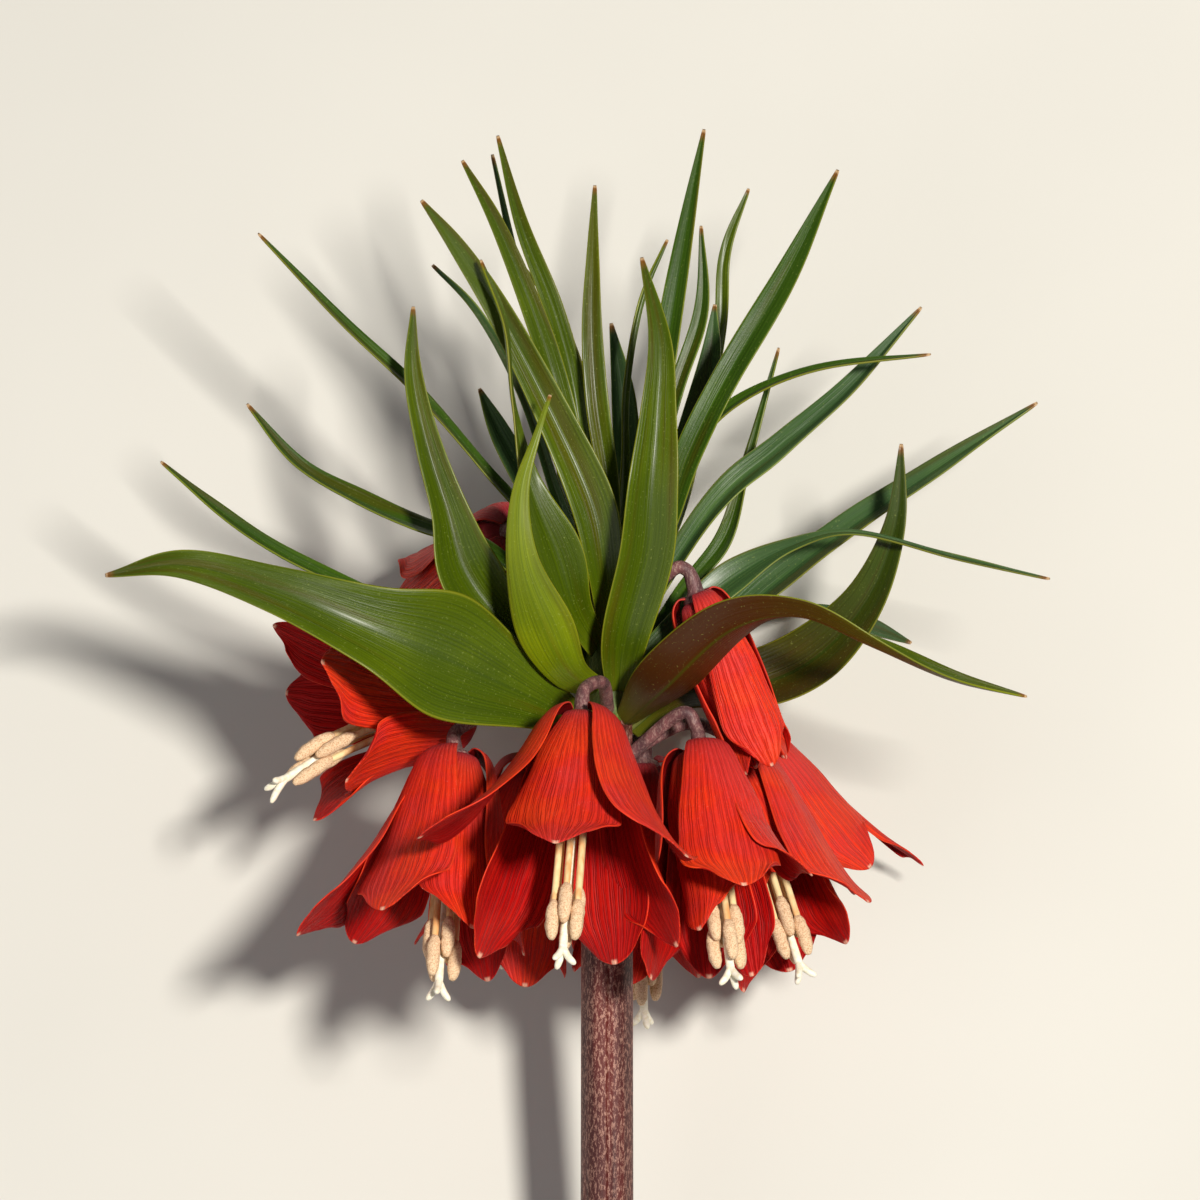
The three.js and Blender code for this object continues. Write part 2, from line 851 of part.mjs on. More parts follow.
/** Ovary, style with its three stigma arms, and six stamens, fused. */
function stamenGeometry(bell) {
  const frame = bellFrame(bell);
  const droop = point(...(bell.droop ?? [0, 0, 0]));
  const place = (down, out, angle) =>
    frame.top
      .clone()
      .addScaledVector(frame.axis, down)
      .addScaledVector(frame.front, out * Math.cos(angle))
      .addScaledVector(frame.right, out * Math.sin(angle))
      .addScaledVector(droop, Math.pow(down / BELL_DEPTH, 2));
  const ovary = OVARY.map(([radius, down]) => [radius, down + OVARY_START]);
  const pieces = [bellLathe(frame, ovary, OVARY_SIDES)];

  const tip = bell.style;
  const style = curveThrough([place(STYLE_START, 0, 0), place(tip * 0.6, 0, 0), place(tip, 0, 0)]);
  pieces.push(tubeGeometry(style, () => STYLE_RADIUS, STRAND_SIDES, 2));

  for (let k = 0; k < 3; k++) {
    const angle = radians(bell.roll + 30 + 120 * k);
    const end = place(tip + STIGMA_ARM.along, STIGMA_ARM.out, angle);
    const arm = curveThrough([place(tip - 1, 0, 0), end]);
    pieces.push(tubeGeometry(arm, () => STIGMA_RADIUS, STRAND_SIDES, 1));
  }

  for (let k = 0; k < 6; k++) {
    const angle = radians(bell.roll + 60 * k);
    const short = k % 2 === 1;
    const end = tip - (short ? SHORT_STAMEN : LONG_STAMEN);
    const out = FILAMENT_ROOT + 0.8 + bell.spread * (short ? 0.6 : 1);
    const stations = [
      [OVARY_START + 0.8, FILAMENT_ROOT, FILAMENT_RADIUS],
      [OVARY_START + 5, FILAMENT_ROOT + 1.8, FILAMENT_RADIUS],
      [end - ANTHER_LENGTH, out, FILAMENT_RADIUS],
      [end - ANTHER_LENGTH * 0.5, out + 0.3, ANTHER_RADIUS],
      [end, out, ANTHER_TIP_RADIUS],
    ];
    const line = curveThrough(stations.map(([down, away]) => place(down, away, angle)));
    const steps = stations.length - 1;
    const swell = (run) => stations[Math.round(run * steps)][2];
    pieces.push(tubeGeometry(line, swell, STRAND_SIDES, steps));
  }
  return fused(pieces);
}

const BELL_DEFAULTS = {
  girth: 1,
  length: 1,
  open: 0,
  roll: 0,
  breadth: 1,
  ruffle: 0.9,
  style: 60,
  spread: 2.4,
  columns: 4,
  steps: 5,
  tepals: [],
  closed: false, // a closed bell hides its stamens, which are left out
};

const BACK = { columns: 3, steps: 4 };

const BELLS = {
  left: {
    top: [-33, 1, -14],
    axis: [-0.84, 0.08, 0.42],
    length: 0.92,
    open: 3,
    roll: 32,
    style: 50,
    droop: [0, -22, 0],
    tepals: [[4, 0.84, 1, 10], [8, 0.8], [0, 0.7], [5, 1], [2, 0.9, 0.7], [0, 1.02]],
    columns: 3,
    pedicel: { seat: [-92, -7], arch: [-20, 2, -13] },
  },
  left_front: {
    top: [-36, -7, 8],
    axis: [-0.06, -0.88, 0.42],
    open: 2,
    roll: -35,
    style: 61,
    tepals: [[3, 0.98], [-3, 1], [-2, 1], [0, 1], [6, 0.85, 1, 26], [15, 0.95]],
    pedicel: { seat: [-54, -8], arch: [-23, 1.5, 4] },
  },
  front: {
    top: [-5.8, 2.9, 31],
    axis: [-0.07, -0.86, 0.48],
    open: 7,
    roll: -68,
    style: 64,
    tepals: [[12, 0.86], [2, 0.95, 1.12], [6, 0.88, 1.2, 4], [4, 1.05], [0, 1], [0, 1.14]],
    pedicel: { seat: [4, 2], arch: [-1, 9, 18] },
  },
  right_front: {
    top: [21.8, -6, 13.2],
    axis: [0.12, -0.86, 0.46],
    open: 1,
    roll: 16,
    style: 60,
    tepals: [[0, 0.91], [0, 1], [0, 1], [0, 1], [-1, 1.08], [-7, 1]],
    pedicel: { seat: [48, -11], arch: [17, 1.5, 10] },
  },
  right: {
    top: [31, -9.5, -12],
    axis: [0.27, -0.88, 0.34],
    open: -2,
    roll: 68,
    style: 55,
    tepals: [[4, 0.9, 1.12], [0, 0.95], [0, 0.95], [0, 1.05], [-1, 0.85], [-1.5, 0.68]],
    columns: 3,
    pedicel: { seat: [84, -9], arch: [19, -1, -10] },
  },
  far_right: {
    top: [31, -4, -28],
    axis: [0.45, -0.84, -0.2],
    length: 0.8,
    roll: 45,
    style: 42,
    tepals: [[0, 1], [9, 1.27, 0.4]],
    pedicel: { seat: [116, -8], arch: [20, 4, -20] },
    ...BACK,
  },
  back_right: {
    top: [9, -9, -23],
    axis: [0, -0.97, -0.18],
    roll: -12,
    style: 64,
    pedicel: { seat: [158, -9], arch: [5, 0, -18] },
    ...BACK,
  },
  half_open: {
    top: [21, 31, 8],
    axis: [0.36, -0.93, -0.03],
    girth: 0.8,
    length: 0.86,
    open: -8,
    roll: 15,
    breadth: 0.75,
    ruffle: 0,
    closed: true,
    pedicel: { seat: [48, 19], arch: [14, 34.5, 7] },
    ...BACK,
  },
  upper_left: {
    top: [-22, 46, -12],
    axis: [-0.3, -0.45, -0.8],
    length: 0.88,
    roll: 5,
    style: 46,
    pedicel: { seat: [-130, 20], arch: [-14, 42, -10] },
    ...BACK,
  },
  back_left: {
    top: [-17, -9, -20],
    axis: [-0.2, -0.95, -0.2],
    roll: 26,
    style: 50,
    pedicel: { seat: [-150, -9], arch: [-10, 0, -17] },
    ...BACK,
  },
};

// ---------------------------------------------------------------- stem

/** The scape and the leafy axis above it, as one slightly ridged tube. */
function scapeGeometry() {
  const line = curveThrough([
    point(0, -SCAPE_LENGTH, 0),
    point(0, -SCAPE_LENGTH * 0.5, 0),
    point(0, 0, 0),
  ]);
  const ridged = (run, turn) =>
    THREE.MathUtils.lerp(SCAPE_FOOT_RADIUS, SCAPE_TOP_RADIUS, run) -
    SCAPE_RIDGE * (0.5 + 0.5 * Math.cos((turn * SCAPE_SIDES) / 2));
  return tubeGeometry(line, ridged, SCAPE_SIDES, 2);
}

function crownGeometry() {
  const line = curveThrough([
    point(0, -1, 0),
    point(0, CROWN_HEIGHT * 0.5, 0),
    point(0, CROWN_HEIGHT, 0),
  ]);
  const taper = (run) => THREE.MathUtils.lerp(SCAPE_TOP_RADIUS - 0.1, CROWN_TIP_RADIUS, run);
  return tubeGeometry(line, taper, SCAPE_SIDES, 2);
}

/** The arched stalk of a bell, which ends square on top of the bell. */
function pedicelGeometry(bell) {
  const { seat, arch } = bell.pedicel;
  const axis = point(...bell.axis).normalize();
  const end = point(...bell.top).addScaledVector(axis, -SEAT_GAP);
  const above = end.clone().addScaledVector(axis, -PEDICEL_DROP);
  const root = besideStem(seat[0], seat[1], -PEDICEL_ROOT);
  return tubeGeometry(
    curveThrough([root, point(...arch), above, end]),
    () => PEDICEL_RADIUS,
    PEDICEL_SIDES,
    PEDICEL_STEPS,
  );
}

// ---------------------------------------------------------------- the plant

const plant = new THREE.Group();

function addPiece(name, geometry, colour, roughness) {
  const material = new THREE.MeshStandardMaterial({ color: colour, roughness, metalness: 0 });
  const mesh = new THREE.Mesh(geometry, material);
  mesh.name = name;
  plant.add(mesh);
}

const bells = Object.entries(BELLS).map(([name, bell]) => [name, { ...BELL_DEFAULTS, ...bell }]);

const stalks = bells.map(([, bell]) => pedicelGeometry(bell));
addPiece("stem", fused([scapeGeometry(), crownGeometry(), ...stalks]), COLOURS.scape, 0.6);

for (const [name, bell] of bells) {
  addPiece("bell_" + name, bellGeometry(bell), COLOURS.tepal, 0.5);
  if (!bell.closed) addPiece("stamens_" + name, stamenGeometry(bell), COLOURS.stamen, 0.7);
}

for (const [name, leaf] of Object.entries(LEAVES)) {
  const whole = { ...LEAF_DEFAULTS, ...leaf };
  addPiece(name, leafGeometry(whole), COLOURS[whole.tint], 0.35);
}

// Laid down: the stem rises from its cut end, and the lowest point touches the surface.
plant.rotation.x = radians(LYING_TILT);
const laid = new THREE.Group();
laid.add(plant);
laid.updateMatrixWorld(true);
const extent = new THREE.Box3().setFromObject(laid, true);
const middle = extent.getCenter(point(0, 0, 0));
plant.position.set(-middle.x, -middle.y, -extent.min.z);

export default laid;
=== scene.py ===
"""Crown imperial: the looks of one cut flowering stem that lies on a surface.

Sizes are in millimetres and the plant is described upright in its own frame, with its origin on
the stem axis at the ring of bells: +Y runs up the stem, +X to the right and +Z to the front.
One matrix lays every finished piece down and turns it into metres.
"""

import math
import random

import bmesh
import bpy
from mathutils import Matrix, Vector, noise


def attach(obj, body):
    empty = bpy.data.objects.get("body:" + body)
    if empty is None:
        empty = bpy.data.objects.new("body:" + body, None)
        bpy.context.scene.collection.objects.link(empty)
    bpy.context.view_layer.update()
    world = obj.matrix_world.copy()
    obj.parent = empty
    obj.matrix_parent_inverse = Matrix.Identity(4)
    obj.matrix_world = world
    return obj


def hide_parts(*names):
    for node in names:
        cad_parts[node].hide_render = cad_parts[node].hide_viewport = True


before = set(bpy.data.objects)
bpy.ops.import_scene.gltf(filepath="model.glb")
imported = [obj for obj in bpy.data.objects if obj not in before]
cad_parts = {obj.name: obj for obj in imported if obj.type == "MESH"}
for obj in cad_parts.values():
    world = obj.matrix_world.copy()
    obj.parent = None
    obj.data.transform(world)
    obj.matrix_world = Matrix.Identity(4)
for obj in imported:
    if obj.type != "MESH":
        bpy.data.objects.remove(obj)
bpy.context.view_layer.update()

bl_info = {
    "name": "Crown Imperial",
    "version": (1, 0, 0),
    "blender": (4, 5, 0),
    "location": "3D View > Sidebar > Crown",
    "description": "A cut crown imperial with its leaves, bells and stamens",
    "category": "Add Mesh",
}

MM = 0.001
BODY = "root"

# -------- sizes of the plant

LYING_TILT = math.radians(12.5)
SCAPE_LENGTH = 300
SCAPE_FOOT_RADIUS = 6.7
SCAPE_TOP_RADIUS = 6.1
CROWN_HEIGHT = 40
CROWN_TIP_RADIUS = 3.4
SCAPE_RIDGES = 12
SCAPE_RIDGE = 0.25
SCAPE_GROOVE = 0.45
STALK_RADIUS = 1.6
STALK_NECK = 0.3
STALK_SEAT = 1.9
STALK_DROP = 5
STALK_ROOT = 2.5
RECEPTACLE_DEPTH = 2.3
SEAT_GAP = 0.3

LEAF_FOOT = 6.1
LEAF_SUNK = 0.4
LEAF_TIP = 0.5
LEAF_ROW = 3
LEAST_LEAF_ROWS = 28
BROAD_LEAF = 10
MIDRIB_GROOVE = 0.1
MIDRIB_WIDTH = 0.1
CHANNEL_CURVE = 1.25
MARGIN_LAG = 1.3
FLOOR_GAP = 0.5
LEAF_DEFAULTS = dict(facing=(0, 0, 1), fold=22, wave=(0, 1, 0), tint="sun", rests=False)

# A leaf's seat is its azimuth and height on the stem, facing is where its upper side looks, and
# fold is how far its sides rise, in degrees. wave is the height, count and phase of the ripple of
# its margins. The stations of its spine are (x, y, z, width), some with a twist in degrees.
LEAVES = {
    # the left side, from the front to the back
    "left_broad": dict(
        seat=(-56, -2), facing=(0, 0.28, 1), fold=16, wave=(1.6, 2.2, 0.4),
        spine=(
            (-17, 4.8, 14.4, 15.5), (-38, 14.6, 25, 32), (-56, 22, 31, 21), (-78, 31, 33, 12.5),
            (-100, 37, 30, 7), (-119, 34.6, 26, 1),
        ),
    ),
    "left_low": dict(
        seat=(-92, -1), facing=(0, 0.9, 0.5), tint="shade",
        spine=(
            (-20, 10, 0, 7), (-42, 24, 5, 8), (-60, 31, 7, 6.5), (-78, 39.5, 7, 5.8),
            (-93, 50, 6, 4), (-107, 62, 5, 0.9),
        ),
    ),
    "left_middle": dict(
        seat=(-100, 13), facing=(0, 0.9, 0.5), tint="shade",
        spine=(
            (-17, 30, -2, 7), (-31, 41, 1, 9), (-45, 46, 1, 8.6), (-59, 52, 0, 8),
            (-74, 61, 0, 5), (-86.6, 76, -1, 0.9),
        ),
    ),
    "left_thin": dict(
        seat=(-95, 27), facing=(0.5, 0.6, 0.6), tint="shade",
        spine=(
            (-16, 45, 1, 4.5), (-27, 57, 2, 4.4), (-44, 77, 1, 4.2), (-62, 94, 0, 3.8),
            (-84, 117, -2, 0.9),
        ),
    ),
    "left_upright": dict(
        seat=(-68, 9), facing=(0.25, 0, 1), fold=30,
        spine=(
            (-20, 19, 9, 12), (-33, 34, 12, 18), (-38, 50, 13, 11), (-43, 66, 13, 7.6),
            (-46.5, 83, 12, 5), (-46.3, 99, 10, 0.9),
        ),
    ),
    "left_sliver": dict(
        seat=(-118, 31), tint="blue",
        spine=(
            (-12, 54, -4, 3.4), (-20, 78, -7, 3), (-31, 98, -9, 2), (-42.2, 109.7, -11, 0.9),
        ),
    ),
    # the upright leaves of the middle, from the front to the back
    "front_small": dict(
        seat=(-24, 7), facing=(0.15, 0.2, -1), fold=14,
        spine=(
            (-9.4, 11.2, 18, 10.4), (-15, 22, 25, 15), (-20.2, 38, 29, 8.4),
            (-20.6, 54, 30, 4.4), (-16.5, 68, 29, 1.8), (-13.4, 77.5, 27, 0.8),
        ),
    ),
    "front_broad": dict(
        seat=(30, 7), facing=(0.1, 0, 1), fold=26,
        spine=(
            (4, 20, 15, 12.5), (9, 39, 20, 14.6), (10.6, 56, 22, 13.6), (12, 74, 21, 9.6),
            (12.4, 91, 19, 6), (8.2, 110.6, 14, 0.9),
        ),
    ),
    "front_twisted": dict(
        seat=(-30, 17), facing=(0.3, 0, 1),
        spine=(
            (-8, 27, 14, 9), (-12, 40, 18, 13), (-19, 57, 21, 7, 20), (-22.6, 76, 21, 3.8, 60),
            (-24.6, 94, 19, 3.6, 60), (-30.2, 109.9, 17, 0.9, 40),
        ),
    ),
    "long_diagonal": dict(
        seat=(8, 22), facing=(0.1, 0, 1), fold=24,
        spine=(
            (-0.6, 36, 11, 9.5), (-3.6, 52, 13, 12), (-13, 73, 13.5, 9.6), (-25, 96, 13, 7),
            (-35, 112, 12, 5), (-44.4, 124.3, 11, 0.9),
        ),
    ),
    "inner_left": dict(
        seat=(-50, 30), facing=(0.2, 0, 1),
        spine=(
            (-6.5, 55, 8, 6.5), (-11.5, 78, 8, 6.6), (-17.5, 97, 6, 6), (-26, 118, 3, 4),
            (-34.8, 134.4, 0, 0.9),
        ),
    ),
    "inner_tall": dict(
        seat=(-84, 36), facing=(0.2, 0, 1),
        spine=(
            (-5.6, 60, 0, 5.6), (-8, 80, -1, 5.8), (-13, 99, -3, 5.4), (-20.6, 119, -5, 3.8),
            (-26.4, 140.9, -9, 0.9),
        ),
    ),
    "inner_sliver": dict(
        seat=(-160, 37), tint="blue",
        spine=(
            (-6, 60, -7, 3.6), (-13, 86, -10, 3.4), (-21, 107, -13, 2.4),
            (-27.8, 136.8, -17, 0.9),
        ),
    ),
    "inner_curl": dict(
        seat=(178, 31),
        spine=(
            (-2, 58, -12, 3), (-6, 82, -15, 2.6), (-12, 98, -17, 2), (-20.4, 109.7, -18, 0.8),
        ),
    ),
    "centre": dict(
        seat=(10, 38),
        spine=(
            (0.4, 56, 2.5, 5.6), (-2.4, 76, 3, 6.2), (-3.6, 94, 2, 5.4), (-3.4, 112, 0, 3.2),
            (-2.9, 128.6, -3, 0.9),
        ),
    ),
    "back_centre": dict(
        seat=(168, 24), tint="blue",
        spine=(
            (2, 42, -11, 6), (4.6, 60, -14, 7), (4, 78, -17, 6.4), (1, 96, -19, 0.9),
        ),
    ),
    "inner_thin": dict(
        seat=(92, 38), facing=(0.6, 0, 1),
        spine=(
            (4.2, 62, -3, 2.4), (4.6, 80, -4, 2.2), (8, 100, -5, 2), (14.6, 115.7, -7, 0.8),
        ),
    ),
    # the right side, from the top round to the bottom
    "right_tall": dict(
        seat=(56, 35), facing=(-0.2, 0, 1), tint="shade",
        spine=(
            (8, 54, 3, 6), (12, 74, 0, 6.6), (15.4, 96, -3, 6.4), (19, 118, -7, 4.6),
            (23.5, 142.6, -12, 0.9),
        ),
    ),
    "right_dark": dict(
        seat=(138, 35), facing=(-0.3, 0, 1), tint="shade",
        spine=(
            (9.6, 54, -8, 4), (17, 80, -12, 4.4), (23, 99, -15, 4), (22.8, 119.5, -17, 0.8),
        ),
    ),
    "right_pale": dict(
        seat=(146, 14), facing=(-0.3, 0, 1),
        spine=(
            (12, 44, -16, 4), (22, 70, -23, 4.4), (27.6, 94, -28, 3.8), (28.8, 113, -29, 3.2),
            (34.6, 129.1, -30, 0.8),
        ),
    ),
    "back_right": dict(
        seat=(132, 25), facing=(-0.3, 0, 1), tint="blue",
        spine=(
            (13, 45, -9, 6), (20, 66, -15, 8), (25, 86, -19, 6), (26.2, 100.6, -21, 0.9),
        ),
    ),
    "right_long": dict(
        seat=(84, 28), facing=(-0.4, 0.2, 1), tint="shade",
        spine=(
            (13, 44, 4, 7), (19.6, 63, 6, 8), (29, 82, 5, 8), (43, 106, 0, 7),
            (55.7, 132.5, -6, 0.9),
        ),
    ),
    "right_narrow": dict(
        seat=(98, 24), facing=(0, 0.8, 0.6), tint="shade",
        spine=(
            (13, 46, 0, 4), (20, 64, 0, 4), (31, 76, 1, 3.8), (50, 84, 3, 3.4),
            (77.8, 87.6, 4, 0.8),
        ),
    ),
    "right_channelled": dict(
        seat=(106, 16), facing=(-0.4, 0.5, 0.8), fold=30, tint="blue",
        spine=(
            (15, 35, -3, 7), (28, 53, -4, 9), (42, 65, -7, 9), (58, 79, -9, 7),
            (76.1, 99.6, -12, 0.9),
        ),
    ),
    "right_thin": dict(
        seat=(112, 8), facing=(-0.5, 0.2, 1), tint="shade",
        spine=(
            (19, 31, -15, 5), (29, 44, -19, 5.6), (34, 62, -21, 3), (41.8, 90.2, -23, 0.8),
        ),
    ),
    "right_silver": dict(
        seat=(124, -1), facing=(-0.4, 0.6, 0.8), fold=26, tint="blue",
        spine=(
            (20, 14, -15, 8), (38, 30, -20, 10.5), (56, 44, -20, 9), (78, 59, -19, 7),
            (104.4, 76.6, -17, 0.9),
        ),
    ),
    "right_hooked": dict(
        seat=(90, -3), facing=(-0.2, 0.6, 1), fold=18, tint="shade", sides="rusty",
        spine=(
            (18, 6, -4.6, 12), (36, 8, -11.2, 18), (51, 15, -11, 18), (63, 29, -8, 12),
            (69.5, 47, -5, 6), (70.8, 66.5, -4, 0.9),
        ),
    ),
    # its underside is painted brown-red as the reflection of the bells beside it
    "right_arching": dict(
        seat=(46, -1), facing=(0.1, 0.75, -0.65), fold=30, sides="bronze_and_reflection",
        spine=(
            (13.6, 7.6, 21.4, 17.5), (29, 21.6, 33, 15), (45, 25, 37, 12, 20),
            (62, 18, 37, 9, 50), (81, 10, 34, 6, 70), (99.4, 5.8, 30, 0.9, 70),
        ),
    ),
    "right_ribbon": dict(
        seat=(74, 10), facing=(-0.3, 0.5, 1), tint="blue",
        spine=(
            (18, 23, -3, 8), (31, 34, -6, 9.6), (45, 42, -5, 3.8), (60, 45, 0, 1.6),
            (84, 38.8, 3, 1.5), (106.3, 33.8, 3, 0.7),
        ),
    ),
    # the back, and the two leaves that the lying plant rests on
    "back_left": dict(
        seat=(-148, 22), facing=(0.3, 0, 1), tint="blue",
        spine=(
            (-12, 42, -14, 6), (-19, 56, -17, 7), (-26, 69, -20, 6), (-31, 80.2, -22, 0.9),
        ),
    ),
    "behind_left": dict(
        seat=(-166, 11), facing=(0.3, 0.5, 1), tint="blue",
        spine=(
            (-6, 32, -24, 8), (-8, 52, -38, 9), (-10, 70, -50, 7), (-10, 88, -58, 0.9),
        ),
    ),
    "behind_right": dict(
        seat=(164, 5), facing=(-0.3, 0.5, 1), tint="blue",
        spine=(
            (8, 30, -24, 8), (15, 48, -38, 9), (20, 64, -52, 7), (22, 78, -64, 0.9),
        ),
    ),
    "rest_left": dict(
        seat=(-144, -1), facing=(0.4, 0.8, 0.6), fold=10, tint="blue", rests=True,
        spine=(
            (-13, 7, -27, 12), (-28, 7, -58, 14), (-42, 11, -75, 11), (-56, 8, -81, 7),
            (-66, 3, -78, 0.9),
        ),
    ),
    "rest_right": dict(
        seat=(155, -2), facing=(-0.4, 0.8, 0.6), fold=10, tint="blue", rests=True,
        spine=(
            (18, 14, -28, 12), (36, 24, -54, 14), (50, 26, -75, 11), (63, 23, -82, 7),
            (76, 18, -78, 0.9),
        ),
    ),
}

# Half of a bell's outline as (distance down its axis, distance from its axis).
BELL_OUTLINE = ((1.9, 3.2), (2.4, 6.2), (6, 9.4), (16, 12), (29, 14), (42, 16.5), (53, 19))
BELL_DEPTH = 53
OUTER_WIDTHS = (3.6, 8.4, 12.4, 18.5, 24.5, 26, 13)
INNER_WIDTHS = (3.6, 6, 9.4, 17, 24, 26, 13)
SHOULDER_RISE = 1.3
OUTER_NOSE = 5
INNER_NOSE = 6.5
WHORL_STEP = 1.7
SPREAD_POWER = 1.6
OUTER_CURL = 6
INNER_CURL = 2
LEAST_CURL = 5
EDGE_RIPPLE = 1.5
EDGE_NOTCH = 2.8
TIP_LIFT = 0.9
TEPAL_GROOVE = 0.35
HALF_TEPAL = 13
TEPAL_COLUMNS = 14
TEPAL_ROWS = 26
BELL_DEFAULTS = dict(
    girth=1, length=1, open=0, roll=0, breadth=1, ruffle=0.9, style=60, tepals=(),
    droop=(0, 0, 0), closed=False,
)

# A bell hangs from its top along its axis. open spreads its mouth and roll turns it. Its tepals
# are (flare, reach, breadth, turn), the first at the front. style is how far its style hangs, and
# stalk holds the stalk's seat on the stem and the point that the stalk arches over.
BELLS = {
    "left": dict(
        top=(-33, 1, -14), axis=(-0.84, 0.08, 0.42), length=0.92, open=3, roll=32, style=50,
        droop=(0, -22, 0),
        tepals=(
            (4, 0.84, 1, 10), (8, 0.8), (6, 0.76, 0.85, 30), (5, 0.95, 0.72, 10), (2, 0.9, 0.7),
            (0, 1.02),
        ),
        stalk=((-92, -7), (-20, 2, -13)),
    ),
    "left_front": dict(
        top=(-36, -7, 8), axis=(-0.06, -0.88, 0.42), open=2, roll=-35, style=61,
        tepals=((3, 0.98), (-3, 1), (-2, 1), (0, 1), (6, 0.85, 1, 26), (15, 0.95)),
        stalk=((-54, -8), (-23, 1.5, 4)),
    ),
    "front": dict(
        top=(-5.8, 2.9, 31), axis=(-0.07, -0.86, 0.48), open=7, roll=-68, style=64,
        tepals=(
            (12, 0.86), (2, 0.95, 1.12), (6, 0.88, 1.2, 4), (4, 1.05), (0, 1.04, 0.98, -20),
            (0, 1.14),
        ),
        stalk=((4, 2), (-1, 9, 18)),
    ),
    "right_front": dict(
        top=(21.8, -6, 13.2), axis=(0.12, -0.86, 0.46), open=1, roll=16, style=60,
        tepals=((0, 0.91), (4, 0.78), (0, 1, 0.7, 30), (0, 1), (-1, 1.08), (-10.5, 0.97)),
        stalk=((48, -11), (17, 1.5, 10)),
    ),
    "right": dict(
        top=(31, -9.5, -12), axis=(0.27, -0.88, 0.34), open=-2, roll=68, style=55,
        tepals=((4, 0.9, 1.12), (0, 0.95), (0, 0.95), (0, 1.05), (-1, 0.85), (-1.5, 0.68)),
        stalk=((84, -9), (19, -1, -10)),
    ),
    "far_right": dict(
        top=(31, -4, -28), axis=(0.45, -0.84, -0.2), length=0.8, roll=45, style=42,
        tepals=((0, 1), (9, 1.27, 0.4)),
        stalk=((116, -8), (20, 4, -20)),
    ),
    "back_right": dict(
        top=(9, -9, -23), axis=(0, -0.97, -0.18), roll=-12, style=64,
        stalk=((158, -9), (5, 0, -18)),
    ),
    "half_open": dict(
        top=(21, 31, 8), axis=(0.36, -0.93, -0.03), girth=0.8, length=0.86, open=-8, roll=15,
        breadth=0.75, ruffle=0, closed=True,
        stalk=((48, 19), (14, 34.5, 7)),
    ),
    "upper_left": dict(
        top=(-22, 46, -12), axis=(-0.3, -0.45, -0.8), length=0.88, roll=5, style=46,
        stalk=((-130, 20), (-14, 42, -10)),
    ),
    "back_left": dict(
        top=(-17, -9, -20), axis=(-0.2, -0.95, -0.2), roll=26, style=50,
        stalk=((-150, -9), (-10, 0, -17)),
    ),
}

OVARY_START = 2.9
OVARY_LENGTH = 11
OVARY_RADIUS = 2.6
OVARY_LOBE = 0.08
STYLE_START = 9
STYLE_RADIUS = 0.85
STIGMA_RADIUS = 0.9
STIGMA_DROP = 3.4
STIGMA_SPREAD = 3.2
FILAMENT_RADIUS = 0.85
FILAMENT_ROOT = 1.8
ANTHER_LENGTH = 10.5
ANTHER_RADIUS = 1.85
STAMEN_REACH = 3.1
LONG_STAMEN = 2
SHORT_STAMEN = 7
ANTHER_LUMP = 0.2
ANTHER_SEAM = 0.2

# -------- the stage, in metres

AIM = Vector((-1.68, 28.8, 0)) * MM
CAMERA_HEIGHT = 2
CAMERA_LENS = 250
SENSOR_WIDTH = 36
HALF_FLOOR = 4
# A light's place, size, power and colour.
KEY_LIGHT = ((0.5, 0.3, 1.6), 0.22, 37, (1, 0.96, 0.87))
FILL_LIGHT = ((-1.0, -0.35, 1.3), 1.3, 5.5, (1, 0.97, 0.95))
SKY_COLOUR = (0.92, 0.95, 1, 1)
SKY_STRENGTH = 0.1

# -------- colours of small features, painted glints and a painted reflection among them

LEAF_STREAK = "4a3404"
# brown that a leaf turns: a real bronze on the hooked leaf, a painted red reflection of the bells
# on the arching leaf's underside
LEAF_BRONZE_AND_REFLECTION = "3e1702"
LEAF_PALE_FOOT = "8c9c20"
LEAF_MARGIN = "a8a428"
LEAF_BROWN_TIP = "7d4a1c"
LEAF_DRY_TIP = "cfae86"
# painted glints: bright specks that stand for highlights on the leaves and the tepals
LEAF_GLINT = "c4d070"
TEPAL_GLINT = "f08c80"
TEPAL_POINT = "f0b39a"

# -------- curves and places


def smooth(value, low, high):
    """0 below low, 1 above high, and an even ease between them."""
    share = min(max((value - low) / (high - low), 0), 1)
    return share * share * (3 - 2 * share)


def mixed(first, second, share):
    """first where share is 0 and second where it is 1, for numbers."""
    return first + (second - first) * share


def spline(stations, run):
    """The place at a run of 0 to 1 on a smooth curve through evenly timed stations."""
    spans = len(stations) - 1
    spot = min(max(run, 0), 1) * spans
    k = min(int(spot), spans - 1)
    t = spot - k
    start, end = stations[k], stations[k + 1]
    before = stations[k - 1] if k else start * 2 - end
    after = stations[k + 2] if k + 2 <= spans else end * 2 - start
    leave, arrive = (end - before) * 0.5, (after - start) * 0.5
    return (
        start
        + leave * t
        + (start * -3 + end * 3 - leave * 2 - arrive) * t**2
        + (start * 2 - end * 2 + leave + arrive) * t**3
    )


def heading(stations, run):
    """Direction of a curve at a run."""
    step = 0.0001
    ahead, behind = spline(stations, min(run + step, 1)), spline(stations, max(run - step, 0))
    return (ahead - behind).normalized()


def crown_radius(height):
    """Radius of the stem at a height over the ring of bells."""
    return mixed(SCAPE_TOP_RADIUS, CROWN_TIP_RADIUS, max(0, height / CROWN_HEIGHT))


def beside_stem(azimuth, height, distance):
    """A point outside the stem: azimuth 0 is the front and 90 the right."""
    reach = crown_radius(height) + distance
    turn = math.radians(azimuth)
    return Vector((reach * math.sin(turn), height, reach * math.cos(turn)))


def surface_depth(y):
    """Height of the surface under the lying plant, in the plant's frame."""
    return -(SCAPE_FOOT_RADIUS - SCAPE_RIDGE) - (y + SCAPE_LENGTH) * math.tan(LYING_TILT)


